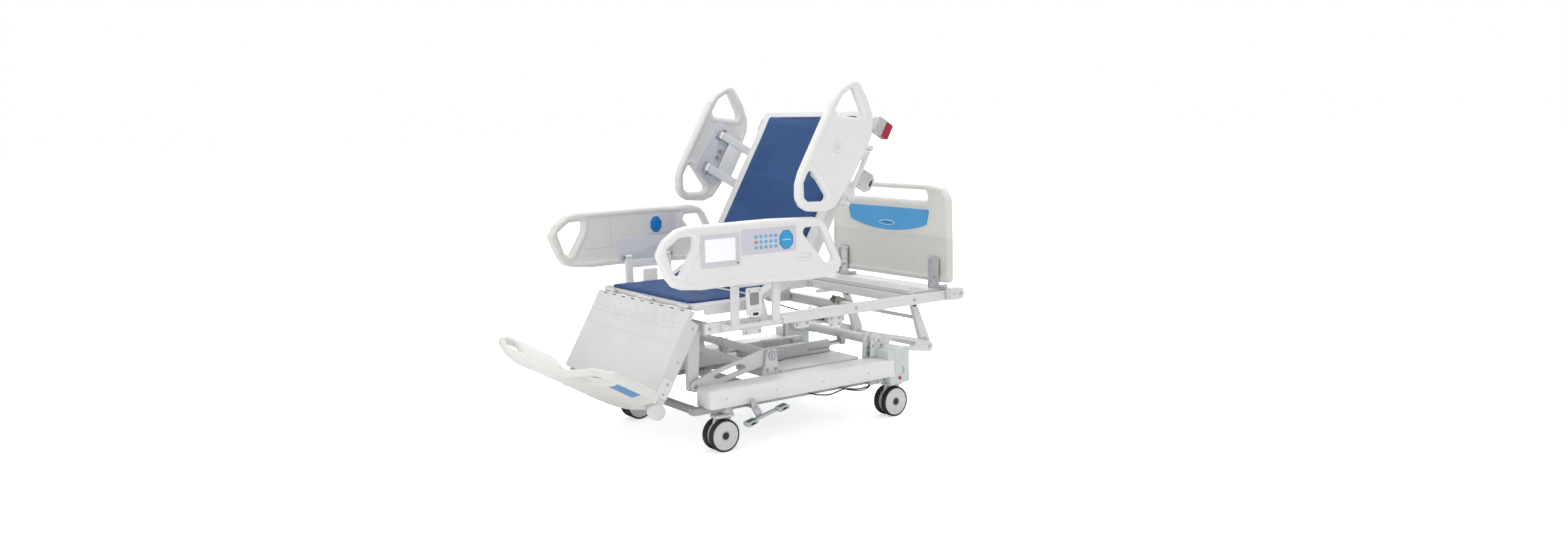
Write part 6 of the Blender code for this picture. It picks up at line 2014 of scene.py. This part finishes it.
for tag, side in SIDES:
    rail_mark("foot", tag, side, BASE, -0.125, 0.859, outer=(0.040, 0.020),
              inner=(0.0365, 0.0168), centre=(0.0290, 0.0050), centre_y=0.5440)
    rail_mark("head", tag, side, BACK, 0.491, 0.178, outer=(0.028, 0.028),
              inner=(0.0248, 0.0248), centre=(0.0130, 0.0130), centre_y=0.5438)

# ------------------------------------------------------------------ screen and keypad
# on the outer face of the near foot rail
PANEL_BODY = "foot_rail_near"
PANEL_Y = -0.5446
KEY_PITCH = 0.0262
KEY_ROWS = (0.9690, 0.9455, 0.9220)    # z


def panel_plate(outline, proud, depth, bevel, steps=2, holes=()):
    """A plate that stands proud of the panel's face and goes depth behind it."""
    return plate(outline, (PANEL_Y - proud, PANEL_Y + depth), bevel, steps, holes=holes)


def key(x, z, width, height, proud, corner):
    outline = rect((x - width / 2, x + width / 2), (z - height / 2, z + height / 2), corner, 3)
    return panel_plate(outline, proud, 0.0012, 0.0006)


window = rect((-0.652, -0.497), (0.879, 0.977), 0.004)
add("screen_surround", BEZEL, PANEL_BODY, [
    panel_plate(rect((-0.673, -0.473), (0.855, 0.995), 0.012), 0.0010, 0.0060, 0.0012,
                holes=[window]),
    panel_plate(rect((-0.657, -0.492), (0.874, 0.982), 0.005), 0.0017, 0.002, 0.0006, 1,
                [window]),
], replaces="touch_screen")
add("screen_glass", SCREEN, PANEL_BODY,
    [panel_plate(rect((-0.6525, -0.4965), (0.8785, 0.9775), 0.004), 0.0003, 0.004, 0.0004, 1)])
add("screen_button", DARK, PANEL_BODY,
    [cross_rod(-0.4860, 0.8665, (PANEL_Y + 0.0010, PANEL_Y - 0.0022), 0.0040, 0.0006)])
add("keypad_sheet", FOIL, PANEL_BODY,
    [panel_plate(rect((-0.465, -0.172), (0.895, 1.002), 0.010), 0.0004, 0.0025, 0.0005, 1)],
    replaces="keypad")

blue_keys, red_keys, rims, icons = [], [], [], []
for i in range(5):
    for j, z in enumerate(KEY_ROWS):
        x = -0.389 + KEY_PITCH * i
        rims.append(key(x, z, 0.0205, 0.0180, -0.0002, 0.0045))
        keys = red_keys if (i, j) == (0, 1) else blue_keys
        keys.append(key(x, z, 0.0165, 0.0140, 0.0006, 0.0035))
        # an arrow up, an arrow down or a dot
        icon = (
            [(x - 0.0032, z - 0.0022), (x + 0.0032, z - 0.0022), (x, z + 0.0034)],
            [(x + 0.0032, z + 0.0022), (x - 0.0032, z + 0.0022), (x, z - 0.0034)],
            ellipse(x, z, 0.0028, 0.0028, 16),
        )[(i + j) % 3]
        icons.append(panel_plate(icon, 0.0011, -0.0002, 0.0001, 1))
# a column of indicators on the foot side of the keys
rims += [panel_plate(ellipse(-0.4400, z, 0.0030, 0.0030, 18), 0.0009, 0.0002, 0.0003, 1)
         for z in KEY_ROWS]
add("keypad_keys", KEY_BLUE, PANEL_BODY, blue_keys)
add("keypad_key_stop", KEY_RED, PANEL_BODY, red_keys)
add("keypad_key_rims", KEY_RIM, PANEL_BODY, rims)
add("keypad_icons", BADGE_PALE, PANEL_BODY, icons)


def badge_outline(scale, corner):
    return rounded(octagon(-0.2268, 0.9462, 0.0400 * scale, 0.0450 * scale), corner, 3)


add("rail_badge_rim", BADGE_DEEP, PANEL_BODY,
    [panel_plate(badge_outline(1.0, 0.0040), 0.0016, 0.001, 0.0006)])
add("rail_badge_face", BADGE, PANEL_BODY,
    [panel_plate(badge_outline(0.90, 0.0035), 0.0022, -0.001, 0.0005, 1)])
add("rail_badge_bar", BADGE_PALE, PANEL_BODY,
    [panel_plate(rect((-0.2480, -0.2056), (0.9438, 0.9486), 0.0022), 0.0026, -0.0018, 0.0003,
                 1)])

# ------------------------------------------------------------------ backrest release handles
for tag, side in SIDES:
    body = f"cpr_{tag}"
    add(f"cpr_body_{tag}", BOX_GREY, body, [
        plate(rect((0.680, 0.758), (-0.014, -0.068), [0.010, 0.010, 0.003, 0.003]),
              span(side, 0.4447, 0.4858), 0.004, 3),
        *[box((0.686 + 0.012 * k, 0.690 + 0.012 * k), span(side, 0.4850, 0.4868),
              (-0.060, -0.030), 0.0008, 1) for k in range(6)],
    ], BACK, f"cpr_handle_{tag}")
    add(f"cpr_cap_{tag}", RED, body, [
        plate(rect((0.681, 0.757), (-0.0685, -0.1118), [0.002, 0.002, 0.009, 0.009]),
              span(side, 0.4452, 0.4853), 0.005, 4)], BACK)
    add(f"cpr_pin_{tag}", ZINC, body,
        [cap_screw((0.705, side * 0.4857, -0.025), (0, side, 0), 0.0045, 0.0018)], BACK)


# ------------------------------------------------------------------ floor
def floor():
    half = 60.0
    mesh = bpy.data.meshes.new("floor")
    mesh.from_pydata([(-half, -half, 0), (half, -half, 0), (half, half, 0), (-half, half, 0)],
                     [], [(0, 1, 2, 3)])
    s = Shader("pale_floor")
    big = s.noise(scale=1.4, detail=4.0, rough=0.5)
    fine = s.noise(scale=260.0, detail=3.0, rough=0.6)
    colour = s.mix(s.remap(big, over=(0.3, 0.7)), srgb(253, 253, 253), srgb(251, 251, 252))
    # seen directly the sheet glows a little, so that it runs into the backdrop
    seen = s.new("LightPath").outputs["Is Camera Ray"]
    glow = 0.55
    s.set(Base_Color=colour, Roughness=s.remap(fine, over=(0.3, 0.7), to=(0.6, 0.75)),
          Normal=s.bump(fine, strength=0.02, distance=0.0005), Specular_IOR_Level=0.15,
          Emission_Color=(1.0, 1.0, 1.0), Emission_Strength=s.math("MULTIPLY", seen, glow))
    mesh.materials.append(s.material)
    ob = bpy.data.objects.new("floor", mesh)
    scene.collection.objects.link(ob)
    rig.stage(ob)


floor()


# ------------------------------------------------------------------ lights
def area_light(name, at, target, size, power, colour=(1, 1, 1)):
    """A rectangular light; at and target are relative to the bed's own origin."""
    light = bpy.data.lights.new(name, "AREA")
    light.shape = "RECTANGLE"
    light.size, light.size_y = size
    light.energy = power
    light.color = colour
    at = (BASE_X + at[0], *at[1:])
    target = (BASE_X, *target[1:])
    ob = bpy.data.objects.new(name, light)
    ob.location = at
    ob.rotation_mode = "QUATERNION"
    ob.rotation_quaternion = (Vector(target) - Vector(at)).to_track_quat("-Z", "Y")
    scene.collection.objects.link(ob)


area_light("key", at=(-2.6, -4.4, 3.6), target=(0, 0, 0.7), size=(3.2, 2.4), power=27.0,
           colour=(1.0, 0.995, 0.985))
area_light("fill", at=(-4.6, -0.4, 1.6), target=(0, 0, 0.75), size=(2.6, 2.2), power=26.0)
area_light("top", at=(0.4, 0.4, 4.4), target=(0, 0, 0.5), size=(4.0, 4.0), power=96.0)
area_light("rim", at=(3.4, 3.2, 2.4), target=(0, 0, 0.8), size=(2.4, 2.4), power=30.0,
           colour=(0.97, 0.985, 1.0))


# ------------------------------------------------------------------ world and view
def studio_world():
    """White surroundings, brighter to the camera than the light they give."""
    lighting, backdrop = 0.68, 1.0
    world = bpy.data.worlds.new("studio")
    world.use_nodes = True
    scene.world = world
    nodes, links = world.node_tree.nodes, world.node_tree.links
    seen = nodes.new("ShaderNodeLightPath").outputs["Is Camera Ray"]
    mix = nodes.new("ShaderNodeMixShader")
    links.new(seen, mix.inputs[0])
    backgrounds = (nodes["Background"], nodes.new("ShaderNodeBackground"))
    for i, (node, strength) in enumerate(zip(backgrounds, (lighting, backdrop))):
        node.inputs["Color"].default_value = (1.0, 1.0, 1.0, 1.0)
        node.inputs["Strength"].default_value = strength
        links.new(node.outputs[0], mix.inputs[i + 1])
    links.new(mix.outputs[0], nodes["World Output"].inputs["Surface"])


studio_world()
scene.view_settings.view_transform = "Standard"
scene.view_settings.look = "None"
scene.view_settings.exposure = 0.0
scene.view_settings.gamma = 1.0


# ------------------------------------------------------------------ camera
def add_camera():
    """Looks at the near side from the foot end, slightly from above."""
    azimuth, elevation, roll = RAD(-35.617), RAD(7.294), RAD(-1.205)
    position = (-3.3894 + BASE_X, -4.9646, 1.5253)
    lens = bpy.data.cameras.new("camera")
    camera = bpy.data.objects.new("camera", lens)
    scene.collection.objects.link(camera)
    lens.sensor_width = 36.0
    lens.lens = 28.277
    lens.shift_x = -0.00221
    lens.shift_y = -0.00927
    lens.clip_start, lens.clip_end = 0.05, 200.0
    backward = Vector((math.sin(azimuth) * math.cos(elevation),
                       -math.cos(azimuth) * math.cos(elevation), math.sin(elevation)))
    right = (-backward).cross(Vector((0, 0, 1))).normalized()
    up = right.cross(-backward)
    columns = (right * math.cos(roll) + up * math.sin(roll),
               -right * math.sin(roll) + up * math.cos(roll), backward, position)
    matrix = Matrix.Identity(4)
    for i, column in enumerate(columns):
        for j in range(3):
            matrix[j][i] = column[j]
    camera.matrix_world = matrix
    scene.camera = camera


add_camera()

visual_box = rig.bounds()
with open("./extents.json", "w") as f:
    json.dump({"cad": [list(CAD_BOX[0]), list(CAD_BOX[1])],
               "visual": [list(visual_box[0]), list(visual_box[1])]}, f)
